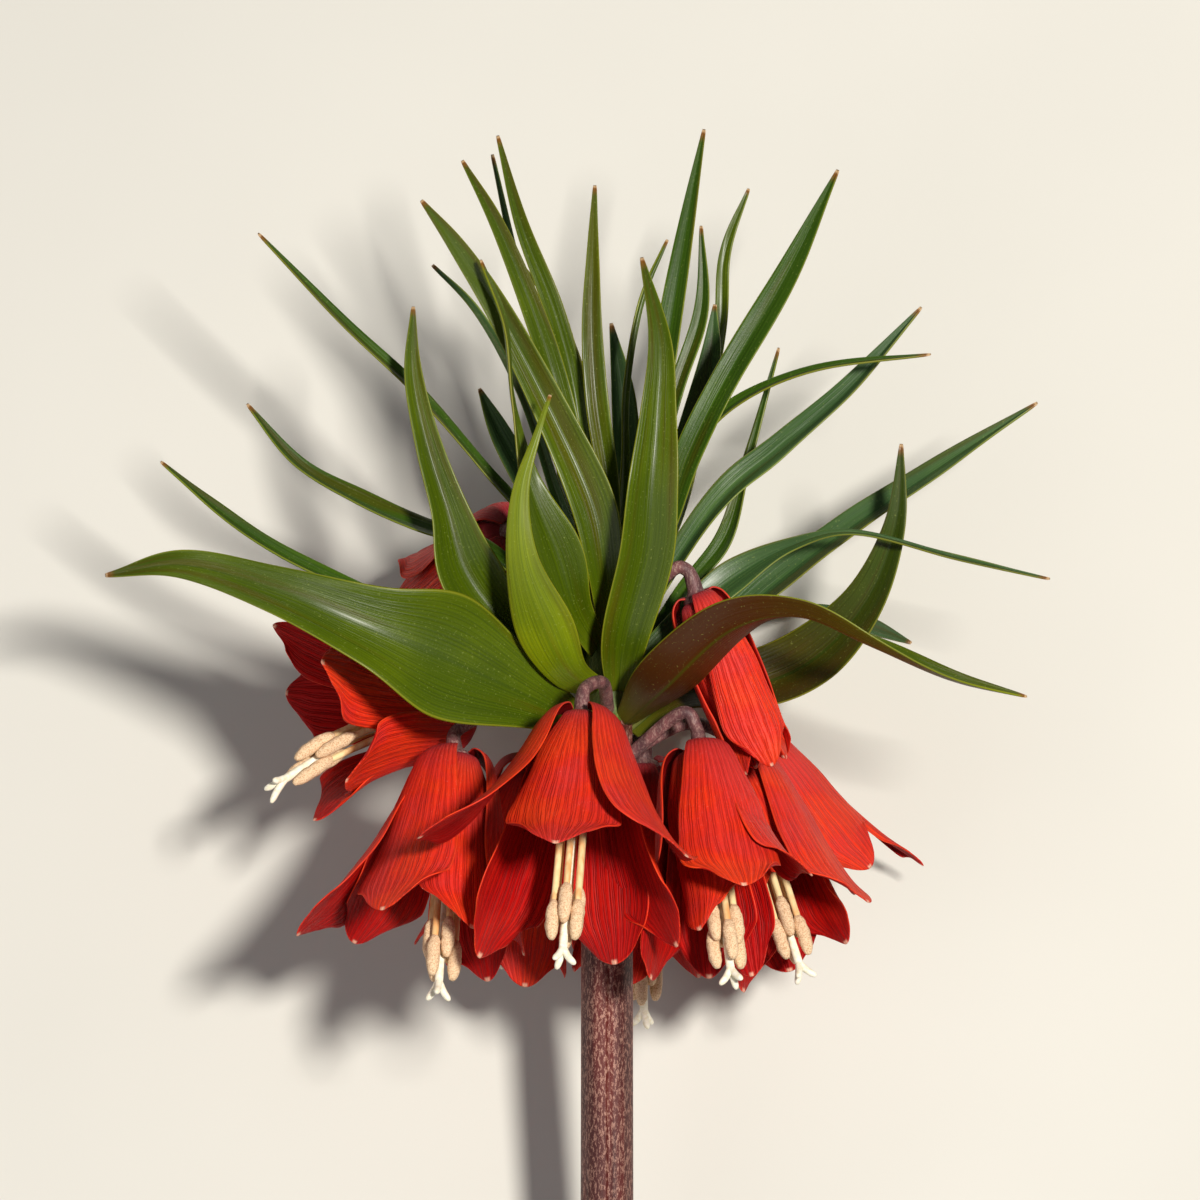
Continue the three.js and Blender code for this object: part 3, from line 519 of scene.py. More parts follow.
def laid_down():
    """The plant's place and turn on the surface, found from the cut end of the stem."""
    turn = Matrix.Rotation(LYING_TILT, 4, "X")
    axis = turn @ Vector((0, 1, 0))
    corners = {tuple(round(c, 6) for c in v.co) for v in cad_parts["stem"].data.vertices}
    lowest = min(Vector(corner).dot(axis) for corner in corners)
    cut = [Vector(corner) for corner in corners if Vector(corner).dot(axis) < lowest + 0.1 * MM]
    centre = sum(cut, Vector()) / len(cut)
    return Matrix.Translation(centre + axis * SCAPE_LENGTH * MM) @ turn


PLACE = laid_down()

# -------- shapes


class Shape:
    """A mesh under construction, with the values that its finishes read at every point."""

    def __init__(self):
        self.mesh = bmesh.new()
        self.mesh.loops.layers.uv.new("UVMap")
        self.grain = self.mesh.verts.layers.float_vector.new("grain")
        self.spot = self.mesh.verts.layers.float_vector.new("spot")

    def sheet(self, columns, rows, place, slot=0, tone=0.0):
        """
        A grid whose points go where place(across, run) says: across is -1 to 1 and run 0 to 1.
        place gives the point, then millimetres across, along and left to the tip.
        """
        made = bmesh.ops.create_grid(
            self.mesh, x_segments=columns, y_segments=rows, size=1, calc_uvs=True
        )["verts"]
        for vert in made:
            across, run = vert.co.x, (vert.co.y + 1) / 2
            vert.co, width, length, left = place(across, run)
            vert[self.grain] = (width, length, tone)
            vert[self.spot] = (across, run, left)
        for face in {face for vert in made for face in vert.link_faces}:
            face.material_index = slot
            face.smooth = True
        return made

    def tube(self, stations, radius, sides, rows, slot, section=None):
        """
        A closed round tube along a curve. radius(run) is its radius, and section(angle, run)
        scales it round the tube.
        """
        frames = []
        normal = Vector((0, 0, 1))
        length = 0
        last = spline(stations, 0)
        for row in range(rows + 1):
            run = row / rows
            centre, along = spline(stations, run), heading(stations, run)
            if not row and abs(along.z) > 0.9:
                normal = Vector((1, 0, 0))
            normal = (normal - along * normal.dot(along)).normalized()
            length += (centre - last).length
            last = centre
            frames.append((centre, normal, along.cross(normal), length))

        def place(across, run):
            centre, normal, other, length = frames[round(run * rows)]
            angle = (across + 1) * math.pi
            reach = radius(run) * (section(angle, run) if section else 1)
            spot = centre + normal * reach * math.cos(angle) + other * reach * math.sin(angle)
            return spot, angle * radius(run), length, frames[-1][3] - length

        made = self.sheet(sides, rows, place, slot)
        bmesh.ops.remove_doubles(self.mesh, verts=made, dist=0.0005)
        rim = [edge for edge in self.mesh.edges if edge.is_boundary]
        for face in bmesh.ops.holes_fill(self.mesh, edges=rim, sides=0)["faces"]:
            face.material_index = slot
        bmesh.ops.recalc_face_normals(self.mesh, faces=self.mesh.faces)

    def piece(self, name, node, slot, finishes, wall=0, levels=1):
        """
        Lays the shape down as a finished piece that stands for a CAD node. A wall gives a sheet
        its thickness, with its own finish on the far side, and levels round the shape.
        """
        bmesh.ops.transform(self.mesh, matrix=PLACE @ Matrix.Scale(MM, 4), verts=self.mesh.verts)
        data = bpy.data.meshes.new(name)
        self.mesh.to_mesh(data)
        self.mesh.free()
        made = bpy.data.objects.new(name, data)
        bpy.context.scene.collection.objects.link(made)
        for finish in finishes:
            data.materials.append(finish)
        if wall:
            solid = made.modifiers.new("wall", "SOLIDIFY")
            solid.thickness = wall
            solid.offset = 0
            solid.material_offset = 1
        if levels:
            subdivision = made.modifiers.new("rounding", "SUBSURF")
            subdivision.levels = levels
            subdivision.render_levels = levels
        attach(made, BODY)
        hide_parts(node)


# -------- finishes


def colour(text):
    """A colour such as "7d565c" as the linear values that a shader reads."""
    shares = [int(text[k : k + 2], 16) / 255 for k in (0, 2, 4)]
    linear = [s / 12.92 if s <= 0.04045 else ((s + 0.055) / 1.055) ** 2.4 for s in shares]
    return (*linear, 1)


def tinted(base, red, green, blue):
    """A colour with its red, green and blue scaled."""
    return (base[0] * red, base[1] * green, base[2] * blue, 1)


class Wave:
    """A value of a finish that changes over the surface. Sums of such values add Math nodes."""

    def __init__(self, finish, socket):
        self.finish = finish
        self.socket = socket

    def math(self, operation, *others):
        return self.finish.add("Math", {"operation": operation}, dict(enumerate((self, *others))))

    def __add__(self, other):
        return self.math("ADD", other)

    def __sub__(self, other):
        return self.math("SUBTRACT", other)

    def __mul__(self, other):
        return self.math("MULTIPLY", other)

    def __pow__(self, other):
        return self.math("POWER", other)

    def __rsub__(self, other):
        return self * -1 + other

    __radd__ = __add__
    __rmul__ = __mul__

    def sine(self):
        return self.math("SINE")

    def size(self):
        return self.math("ABSOLUTE")

    def most(self, other):
        return self.math("MAXIMUM", other)

    def eased(self, low, high, start=0.0, end=1.0):
        """start below low, end above high, and an even ease between them."""
        return self.finish.add(
            "MapRange",
            {"interpolation_type": "SMOOTHSTEP"},
            {"Value": self, "From Min": low, "From Max": high, "To Min": start, "To Max": end},
        )


class Finish:
    """A material with one shader, and the steps that build what changes over its surface."""

    def __init__(self, name, **constants):
        self.material = bpy.data.materials.new(name)
        self.material.use_nodes = True
        self.tree = self.material.node_tree
        self.shader = self.tree.nodes["Principled BSDF"]
        for key, value in constants.items():
            self.shader.inputs[key.replace("_", " ")].default_value = value

    def add(self, kind, settings=None, sockets=None, out=0):
        """A node of a kind, with its settings made first and then its sockets set or linked."""
        node = self.tree.nodes.new("ShaderNode" + kind)
        for key, value in (settings or {}).items():
            setattr(node, key, value)
        for key, value in (sockets or {}).items():
            if isinstance(value, Wave):
                self.tree.links.new(value.socket, node.inputs[key])
            else:
                node.inputs[key].default_value = value
        return Wave(self, node.outputs[out])

    def parts(self, vector):
        """The three values of a vector."""
        first = self.add("SeparateXYZ", None, {0: vector})
        node = first.socket.node
        return [Wave(self, node.outputs[k]) for k in range(3)]

    def attribute(self, name):
        """The three values that every point of the mesh keeps under a name."""
        return self.parts(self.add("Attribute", {"attribute_name": name}, None, 1))

    def vector(self, x, y, z):
        return self.add("CombineXYZ", None, {0: x, 1: y, 2: z})

    def object_place(self):
        return self.add("TexCoord", None, None, 3)

    def along_stem(self):
        """Object coordinates in metres, turned so that Y runs along the stem."""
        return self.add(
            "Mapping", {"vector_type": "POINT"}, {0: self.object_place(), 2: (-LYING_TILT, 0, 0)}
        )

    def scaled(self, vector, *factors):
        return self.add("VectorMath", {"operation": "MULTIPLY"}, {0: vector, 1: factors})

    def grainy(self, vector, scale=1.0, detail=2.0, roughness=0.5):
        return self.add(
            "TexNoise",
            None,
            {"Vector": vector, "Scale": scale, "Detail": detail, "Roughness": roughness},
        )

    def mix(self, share, first, second):
        """first where share is 0 and second where it is 1, for colours."""
        return self.add("Mix", {"data_type": "RGBA"}, {0: share, 6: first, 7: second}, 2)

    def bump(self, height, strength, depth):
        return self.add("Bump", None, {"Height": height, "Strength": strength, "Distance": depth})

    def surface(self, **sockets):
        """Links what changes over the surface to the shader."""
        for key, wave in sockets.items():
            self.tree.links.new(wave.socket, self.shader.inputs[key.replace("_", " ")])
        return self.material


def leaf_finish(name, blade, rough, bronze_and_reflection=0.0):
    """
    One side of a leaf: long parallel veins, a few brownish streaks, a midrib darkened by painted
    shade of its crease, a thin pale margin, a paler band towards the margins that is painted glow
    of light through the thin edges, a browned tip, the fine grain of its skin and painted glints.
    The last argument is how far its lower half turns brown: a real bronze on the hooked leaf, and
    a painted red reflection of the bells on the underside of the arching leaf.
    """
    vein, crease_shade = tinted(blade, 0.5, 0.56, 0.5), tinted(blade, 0.66, 0.72, 0.8)
    pale = tinted(blade, 2.0, 1.75, 1.3)
    made = Finish(
        name, IOR=1.4, Specular_IOR_Level=0.26, Coat_Weight=0.12, Coat_Roughness=0.22
    )
    across, along, tone = made.attribute("grain")
    side, run, left = made.attribute("spot")
    edge = side.size()
    where = made.object_place()
    streaks = made.grainy(made.vector(across * 1.6, along * 0.02, tone * 7), 1.0, 3.0, 0.65)
    ribs = ((across * 6.4 + (streaks - 0.5) * 3).sine() * 0.5 + 0.5) ** 2
    cloud = made.grainy(where, 34.0, 3.0)
    skin = made.grainy(where, 1700.0, 2.0, 0.6)
    lines = ribs * 0.3 + streaks.eased(0.4, 0.64) * 0.7
    base = made.mix(lines * 0.7, blade, vein)
    # random paler clouds, and a paler band towards the margins that is painted glow of light
    # shining through the thin edges
    clouds_and_edge_glow = cloud.eased(0.42, 0.7) * 0.45 + edge.eased(0.6, 1.0) * 0.25
    base = made.mix(clouds_and_edge_glow * (1 - lines * 0.7), base, pale)
    warm = made.grainy(made.vector(across * 0.16, along * 0.012, tone * 3), 1.0, 2.0)
    base = made.mix(warm.eased(0.5, 0.66, 0.0, 0.42), base, colour(LEAF_STREAK))
    # browner towards the foot: a real bronze on the hooked leaf, a painted red reflection of the
    # bells on the arching leaf's underside
    if bronze_and_reflection:
        base = made.mix(run.eased(0.35, 0.8, bronze_and_reflection, 0.0), base, colour(LEAF_BRONZE_AND_REFLECTION))
    base = made.mix(run.eased(0.0, 0.16, 0.25, 0.0), base, colour(LEAF_PALE_FOOT))
    # painted shade: the midrib line is darkened to stand for the shade in its crease
    base = made.mix(edge.eased(0.015, 0.08, 0.7, 0.0), base, crease_shade)
    base = made.mix(edge.eased(0.965, 1.0, 0.0, 0.3), base, colour(LEAF_MARGIN))
    base = made.mix(left.eased(0.8, 3.4, 0.85, 0.0), base, colour(LEAF_BROWN_TIP))
    base = made.mix(left.eased(0.0, 0.9, 0.8, 0.0), base, colour(LEAF_DRY_TIP))
    # painted glints: bright specks that stand for highlights on the waxy skin
    base = made.mix(skin.eased(0.62, 0.76, 0.0, 0.16), base, colour(LEAF_GLINT))
    return made.surface(
        Base_Color=base,
        Roughness=skin * 0.2 + rough + lines * 0.05,
        Normal=made.bump(skin * 0.4 + lines * 0.6, 0.45, 0.0002),
    )


def tepal_finish(name, tints, inside=False):
    """
    One side of a tepal: fine broken veins that part towards the rim, pinkish-mauve clouds that are
    partly real bloom and partly painted sheen, a mauve bloom on its shoulder, an orange rim, a
    pale point and, on the outside, painted glints. tints are the tepal, its veins, its rim and its
    shoulder.
    """
    flesh, vein, rim, shoulder = tints
    made = Finish(
        name, Subsurface_Weight=0.12, Subsurface_Scale=0.001, IOR=1.4,
        Specular_IOR_Level=0.15 if inside else 0.24,
    )
    made.shader.inputs["Subsurface Radius"].default_value = (1.0, 0.2, 0.1)
    across, along, tone = made.attribute("grain")
    side, run, left = made.attribute("spot")
    edge = side.size()
    where = made.object_place()
    wander = made.grainy(made.vector(across * 0.22, along * 0.08, tone * 9), 1.0, 3.0, 0.6) - 0.5
    broken = made.grainy(made.vector(across * 1.8, along * 0.15, tone * 5), 1.0, 3.0, 0.7)
    threads = made.grainy(made.vector(across * 2.6, along * 0.1, tone * 4), 1.0, 3.0, 0.7)
    coarse = ((across * 3.1 + wander * 6).sine() * 0.5 + 0.5) ** 12
    fine = ((across * 6.2 + wander * 12 + 1).sine() * 0.5 + 0.5) ** 6
    between = fine * run.eased(0.3, 0.7, 0.5, 0.95)
    lines = coarse.most(between) * broken.eased(0.3, 0.58, 0.2, 1.0)
    cloud = made.grainy(where, 55.0, 4.0, 0.6)
    skin = made.grainy(where, 2300.0, 2.0, 0.6)
    base = made.mix(cloud.eased(0.4, 0.72, 0.0, 0.55), flesh, rim)
    if inside:
        base = made.mix(run.eased(0.1, 0.75, 1.0, 0.0), base, shoulder)
    else:
        # pinkish-mauve clouds: partly the real bloom of the tepal, partly a painted sheen
        base = made.mix(cloud.eased(0.34, 0.56, 0.55, 0.0), base, tinted(flesh, 0.85, 2.0, 6))
        base = made.mix(run.eased(0.08, 0.5, 0.05, 1.0), shoulder, base)
        # painted glints: pale specks that stand for highlights on the fine papillae
        base = made.mix(skin.eased(0.6, 0.74, 0.0, 0.25), base, colour(TEPAL_GLINT))
    base = made.mix(threads.eased(0.5, 0.68, 0.0, 0.24), base, vein)
    base = made.mix(lines * 0.7, base, vein)
    base = made.mix(edge.eased(0.93, 1.0, 0.0, 0.3), base, rim)
    point = left.eased(0.3, 1.1, 0.9, 0.0) * edge.eased(0.04, 0.14, 1.0, 0.0)
    base = made.mix(point, base, colour(TEPAL_POINT))
    return made.surface(
        Base_Color=base,
        Roughness=skin * 0.25 + 0.38,
        Normal=made.bump(skin * 0.3 - lines - threads * 0.4 + cloud * 0.4, 0.6, 0.0003),
    )


def scape_finish(name, base, dark, fleck, dense):
    """A mauve-brown skin, closely flecked with cream dashes that run along the stem."""
    made = Finish(name, IOR=1.42)
    where = made.along_stem()
    dashes = made.grainy(made.scaled(where, 1900, 620, 1900), 1.0, 3.0, 0.75)
    fine = made.grainy(made.scaled(where, 3200, 1900, 3200), 1.0, 2.0, 0.6)
    bands = made.grainy(made.scaled(where, 300, 14, 300), 1.0, 2.0)
    body = made.mix(bands.eased(0.35, 0.65), base, colour(dark))
    flecks = dashes.eased(0.5, 0.57) * fine.eased(0.36, 0.5, 0.2, 1.0) * dense
    body = made.mix(flecks * bands.eased(0.35, 0.6, 1.0, 0.55), body, colour(fleck))
    return made.surface(
        Base_Color=body,
        Roughness=fine * 0.25 + 0.4,
        Normal=made.bump(dashes + fine * 0.5, 0.4, 0.0003),
    )


def plain_finish(name, first, second, scale, rough, depth, stretch=1.0):
    """A grainy skin that changes between two colours, its grain drawn out where stretch is low."""
    made = Finish(name, IOR=1.4)
    where = made.scaled(made.along_stem(), scale, scale * stretch, scale)
    grain = made.grainy(where, 1.0, 3.0, 0.65)
    base = made.mix(grain.eased(0.4, 0.66), first, second)
    return made.surface(
        Base_Color=base, Roughness=grain * 0.3 + rough, Normal=made.bump(grain, 0.6, depth)
    )


# -------- pieces


def leaf_shape(name, leaf):
    """One long channelled leaf on the crown of the stem."""
    leaf = {**LEAF_DEFAULTS, **leaf}
    draw = random.Random(name)
    ripple, nudge = draw.uniform(0.5, 1.4), draw.uniform(0, 6)
    foot = beside_stem(*leaf["seat"], -LEAF_SUNK)
    spine = [foot] + [Vector(station[:3]) for station in leaf["spine"]]
    widths = [LEAF_FOOT] + [station[3] for station in leaf["spine"]]
    turns = [station[4] if len(station) > 4 else 0 for station in leaf["spine"]]
    turns = [turns[0]] + turns
    facing = Vector(leaf["facing"]).normalized()
    rise = math.radians(leaf["fold"])
    height, count, phase = leaf["wave"]
    widest = max(widths)
    length = sum((b - a).length for a, b in zip(spine, spine[1:]))
    rows = max(LEAST_LEAF_ROWS, round(length / LEAF_ROW))
    stations = []
    for row in range(rows + 1):
        run = row / rows
        along = heading(spine, run)
        half = max(LEAF_TIP / 2, spline(widths, run) / 2)
        normal = (facing - along * facing.dot(along)).normalized()
        normal.rotate(Matrix.Rotation(math.radians(spline(turns, run)), 3, along))
        stations.append((spline(spine, run), half, normal, along.cross(normal)))

    def place(across, run):
        centre, half, normal, side = stations[round(run * rows)]
        outward = abs(across)
        lag = MARGIN_LAG if across > 0 else 0
        settled = smooth(run, 0.1, 0.35) * (1 - smooth(run, 0.8, 1))
        lift = half * math.sin(rise) * outward**CHANNEL_CURVE
        lift += height * math.sin(math.tau * count * run + phase + lag) * outward**2 * settled
        swell = noise.noise(Vector((across * 0.8, run * length * 0.045 + nudge, nudge)))
        lift += swell * ripple * outward**2 * settled
        lift -= MIDRIB_GROOVE * math.exp(-((outward / MIDRIB_WIDTH) ** 2)) * settled
        spot = centre + side * across * half * math.cos(rise) + normal * lift
        if leaf["rests"]:
            spot.z = max(spot.z, surface_depth(spot.y) + FLOOR_GAP)
        return spot, across * widest / 2, run * length, (1 - run) * length

    shape = Shape()
    columns = 10 if widest > BROAD_LEAF else 8
    shape.sheet(columns, rows, place, tone=draw.uniform(0, 10))
    return shape


def bell_frame(bell):
    """The top of a bell, its axis, and two directions across it, the first to the front."""
    axis = Vector(bell["axis"]).normalized()
    front = Vector((0, 0, 1))
    front = (front - axis * front.dot(axis)).normalized()
    return Vector(bell["top"]), axis, front, front.cross(axis)


def tepal_sheet(shape, bell, number, tone):
    """
    One tepal of a bell. flare moves its tip out, reach stretches it, breadth widens it and turn
    shifts it round the axis, in degrees.
    """
    top, axis, front, right = bell_frame(bell)
    given = bell["tepals"][number] if number < len(bell["tepals"]) else ()
    flare, reach, breadth, turn = (*given, *(0, 1, 1, 0)[len(given):])
    angle = math.radians(bell["roll"] + 60 * number + turn)
    inner = number % 2 == 1
    outward = front * math.cos(angle) + right * math.sin(angle)
    aside = right * math.cos(angle) - front * math.sin(angle)
    line = []
    for down, out in BELL_OUTLINE:
        share = down / BELL_DEPTH
        spread = (bell["open"] + flare) * share**SPREAD_POWER
        step = WHORL_STEP * smooth(down, 2, 6) if inner else 0
        stretch = bell["length"] * mixed(1, reach, share)
        shoulder = SHOULDER_RISE * smooth(down, 1.4, 2.6) * (1 - smooth(down, 3, 16))
        start = down * stretch + (shoulder if inner else -shoulder)
        line.append(Vector((start, out * bell["girth"] + spread - step)))
    widen = breadth * bell["breadth"] * bell["girth"]
    widths = INNER_WIDTHS if inner else OUTER_WIDTHS
    stations = []
    for row in range(TEPAL_ROWS + 1):
        run = row / TEPAL_ROWS
        down, out = spline(line, run)
        slope = heading(line, run)
        stations.append((down, out, slope, max(0.5, spline(widths, run) * widen / 2)))

    def place(across, run):
        across = -across
        down, out, slope, half = stations[round(run * TEPAL_ROWS)]
        curl = max(out, LEAST_CURL) + (INNER_CURL if inner else OUTER_CURL) * run**2
        along = axis * slope.x + outward * slope.y
        bend = across * half / curl
        side = (across > 0) - (across < 0)
        sway = 0.5 + 0.5 * math.sin(9 * run + 2.4 * side + 5 * angle)
        ruffle = -bell["ruffle"] if inner else bell["ruffle"]
        lift = ruffle * sway * across**2 * smooth(run, 0.45, 0.8)
        ripple = noise.noise(Vector((across * 1.5, run * 5, tone * 3)))
        lift += EDGE_RIPPLE * ripple * abs(across) ** 1.5 * smooth(run, 0.3, 0.7)
        bite = noise.noise(Vector((across * 2.5, run * 12, tone * 5)))
        notch = EDGE_NOTCH * bite * abs(across) ** 3 * smooth(run, 0.5, 0.8)
        lift += TIP_LIFT * smooth(run, 0.82, 1)
        lift -= TEPAL_GROOVE * math.exp(-((across / 0.12) ** 2)) * smooth(run, 0.1, 0.4)
        normal = outward * math.cos(bend) + aside * math.sin(bend)
        normal = (normal - along * normal.dot(along)).normalized()
        spot = top + axis * down + outward * out
        spot += aside * curl * math.sin(bend) - outward * curl * (1 - math.cos(bend))
        nose = INNER_NOSE * abs(across) ** 1.4 if inner else OUTER_NOSE * abs(across) ** 1.8
        spot += normal * lift - along * (nose * smooth(run, 0.8, 1) + notch)
        return spot, across * HALF_TEPAL * widen, run * BELL_DEPTH, (1 - run) * BELL_DEPTH

    shape.sheet(TEPAL_COLUMNS, TEPAL_ROWS, place, tone=tone)


def bell_shape(name, bell):
    """Six tepals in two whorls under a small receptacle."""
    bell = {**BELL_DEFAULTS, **bell}
    draw = random.Random(name)
    shape = Shape()
    for number in range(6):
        tepal_sheet(shape, bell, number, draw.uniform(0, 10))
    return shape


# -------- settings and operators


def size_choice(label, text, size):
    """A small size that the user picks, given in millimetres and kept in metres."""
    return bpy.props.FloatProperty(
        name=label, description=text, default=size * MM, min=0.2 * MM, unit="LENGTH"
    )


def colour_choice(label, text):
    """A colour that the user picks."""
    return bpy.props.FloatVectorProperty(
        name=label, description="Colour of the " + label.lower(), default=colour(text)[:3],
        size=3, min=0, max=1, subtype="COLOR",
    )


class CrownSettings(bpy.types.PropertyGroup):
    """Sizes and colours that the user sets"""

    leaf_blade: size_choice("Leaf blade", "Thickness of a leaf", 0.55)
    tepal_wall: size_choice("Tepal", "Thickness of a tepal", 0.5)
    anther_radius: size_choice("Anther", "Half the thickness of an anther", ANTHER_RADIUS)
    tepal: colour_choice("Tepals", "de2814")
    throat: colour_choice("Insides of the bells", "ac0808")
    leaf_sun: colour_choice("Green leaves", "425402")
    leaf_shade: colour_choice("Dark leaves", "324e0c")
    leaf_blue: colour_choice("Blue-green leaves", "3c5830")
    stem: colour_choice("Stem", "642521")
    anther: colour_choice("Anthers", "f2d4b0")


SCAPE_SKIN, STALK_SKIN, CROWN_SKIN = range(3)
FILAMENT, ANTHER, STIGMA, OVARY = range(4)


class CROWN_OT_stem(bpy.types.Operator):
    """Makes the flecked stem, its leafy top and the stalks of the bells"""

    bl_idname = "crown.stem"
    bl_label = "Stem"

    def execute(self, context):
        settings = context.scene.crown_settings
        shape = Shape()

        def ridged(angle, run):
            ridge = SCAPE_RIDGE * (0.5 + 0.5 * math.cos(angle * SCAPE_RIDGES / 2))
            groove = SCAPE_GROOVE * math.exp(-(((angle - 0.1) / 0.07) ** 2))
            return 1 - (ridge + groove) / SCAPE_TOP_RADIUS

        def scape_radius(run):
            return mixed(SCAPE_FOOT_RADIUS, SCAPE_TOP_RADIUS, run)

        def taper(run):
            return mixed(SCAPE_TOP_RADIUS - 0.1, CROWN_TIP_RADIUS, run)

        def stalk_radius(run):
            neck = STALK_NECK * smooth(run, 0.7, 0.88)
            return STALK_RADIUS + neck + STALK_SEAT * smooth(run, 0.9, 1)

        scape = [Vector((0, y, 0)) for y in (-SCAPE_LENGTH, -SCAPE_LENGTH / 2, 0)]
        shape.tube(scape, scape_radius, 96, 60, SCAPE_SKIN, ridged)
        crown = [Vector((0, y, 0)) for y in (-1, CROWN_HEIGHT / 2, CROWN_HEIGHT)]
        shape.tube(crown, taper, 48, 12, CROWN_SKIN)
        for bell in BELLS.values():
            seat, arch = bell["stalk"]
            top, axis = Vector(bell["top"]), Vector(bell["axis"]).normalized()
            stalk = [
                beside_stem(*seat, -STALK_ROOT),
                Vector(arch),
                top - axis * (SEAT_GAP + STALK_DROP),
                top + axis * RECEPTACLE_DEPTH,
            ]
            shape.tube(stalk, stalk_radius, 24, 40, STALK_SKIN)
        shape.piece(
            "scape_and_stalks", "stem", "scape",
            (
                scape_finish("scape skin", (*settings.stem, 1), "3f1718", "c49685", dense=0.74),
                scape_finish("stalk skin", colour("7c4e50"), "54363a", "b8988e", dense=0.55),
                scape_finish("crown skin", colour("5f7226"), "44541c", "8c9a4c", dense=0.4),
            ),
            levels=0,
        )
        return {"FINISHED"}


class CROWN_OT_bells(bpy.types.Operator):
    """Makes the ten nodding bells"""

    bl_idname = "crown.bells"
    bl_label = "Bells"

    def execute(self, context):
        settings = context.scene.crown_settings
        flesh, throat = settings.tepal, settings.throat
        outer_tints = (
            (*flesh, 1), tinted(flesh, 0.38, 0.3, 0.8), tinted(flesh, 1.2, 3.4, 1.5),
            tinted(flesh, 0.36, 1.3, 6),
        )
        inner_tints = (
            (*throat, 1), tinted(throat, 0.28, 0.4, 0.7), tinted(throat, 1.5, 6, 2),
            tinted(throat, 0.35, 0.5, 1),
        )
        finishes = (
            tepal_finish("tepal outside", outer_tints),
            tepal_finish("tepal inside", inner_tints, True),
        )
        for name, bell in BELLS.items():
            bell_shape(name, bell).piece(
                "bell_" + name + "_tepals", "bell_" + name, "tepal", finishes, settings.tepal_wall
            )
        return {"FINISHED"}


class CROWN_OT_stamens(bpy.types.Operator):
    """Makes the ovary, style, stigma and six stamens of every open bell"""

    bl_idname = "crown.stamens"
    bl_label = "Stamens"

    def execute(self, context):
        settings = context.scene.crown_settings
        radius, pollen = settings.anther_radius / MM, settings.anther
        finishes = (
            plain_finish(
                "filament", colour("f2d8a4"), colour("e3a468"), scale=260, rough=0.35,
                depth=0.0001, stretch=0.2,
            ),
            plain_finish(
                "anther", (*pollen, 1), tinted(pollen, 0.66, 0.52, 0.42), scale=3000, rough=0.7,
                depth=0.0004,
            ),
            plain_finish(
                "stigma", colour("f8f3e4"), colour("ebe2c6"), scale=900, rough=0.3, depth=0.0001
            ),
            plain_finish(
                "ovary", colour("a9b25a"), colour("8a9440"), scale=500, rough=0.35, depth=0.0001
            ),
        )
        for name, bell in BELLS.items():
            bell = {**BELL_DEFAULTS, **bell}
            if bell["closed"]:
                continue
            self.make(name, bell, radius, finishes)
        return {"FINISHED"}

    def make(self, name, bell, anther_radius, finishes):
        top, axis, front, right = bell_frame(bell)
        droop = Vector(bell["droop"])
        draw = random.Random(name)
        tip = bell["style"]

        def place(down, out=0, angle=0):
            spot = top + axis * down + (front * math.cos(angle) + right * math.sin(angle)) * out
            return spot + droop * (down / BELL_DEPTH) ** 2

        def ovary_radius(run):
            return OVARY_RADIUS * math.sqrt(max(0.02, 1 - run**3))

        def three_lobed(angle, run):
            return 1 + OVARY_LOBE * math.cos(3 * angle)

        def style_radius(run):
            return STYLE_RADIUS * (1 + 0.25 * smooth(run, 0.7, 1))

        def arm_radius(run):
            return STIGMA_RADIUS * math.sqrt(max(0.15, 1 - run**8))

        def filament_radius(run):
            return FILAMENT_RADIUS

        def swell(run):
            return anther_radius * max(0.12, 1 - abs(2 * run - 1) ** 3.2) ** 0.5

        def lumpy(number):
            def section(turn, run):
                ring = Vector((1.5 * math.cos(turn), 1.5 * math.sin(turn) + number, run * 14))
                seam = ANTHER_SEAM * math.exp(-(((turn % math.pi - 1.57) / 0.35) ** 2))
                return 1 + ANTHER_LUMP * noise.noise(ring) - seam

            return section

        shape = Shape()
        ovary = [place(OVARY_START + OVARY_LENGTH * k / 3) for k in range(4)]
        shape.tube(ovary, ovary_radius, 18, 12, OVARY, three_lobed)
        style = [place(STYLE_START), place(tip * 0.6), place(tip)]
        shape.tube(style, style_radius, 12, 30, STIGMA)
        for k in range(3):
            angle = math.radians(bell["roll"] + 30 + 120 * k)
            arm = [
                place(tip - 1),
                place(tip + STIGMA_DROP * 0.45, STIGMA_SPREAD * 0.45, angle),
                place(tip + STIGMA_DROP, STIGMA_SPREAD, angle),
            ]
            shape.tube(arm, arm_radius, 10, 10, STIGMA)
        for k in range(6):
            angle = math.radians(bell["roll"] + 60 * k + draw.uniform(-8, 8))
            short = k % 2 == 1
            end = tip - (SHORT_STAMEN if short else LONG_STAMEN) + draw.uniform(-1, 1)
            out = STAMEN_REACH * (0.88 if short else 1)
            root = end - ANTHER_LENGTH
            filament = [
                place(OVARY_START + 0.8, FILAMENT_ROOT, angle),
                place(OVARY_START + 5, FILAMENT_ROOT + 1.5, angle),
                place(root * 0.6, out, angle),
                place(root + 1.5, out + 0.1, angle),
            ]
            shape.tube(filament, filament_radius, 10, 26, FILAMENT)
            anther = [
                place(root, out, angle),
                place(root + ANTHER_LENGTH / 2, out + 0.3, angle),
                place(end, out, angle),
            ]
            shape.tube(anther, swell, 16, 18, ANTHER, lumpy(k))
        shape.piece("stamens_" + name + "_cluster", "stamens_" + name, "stamen", finishes)


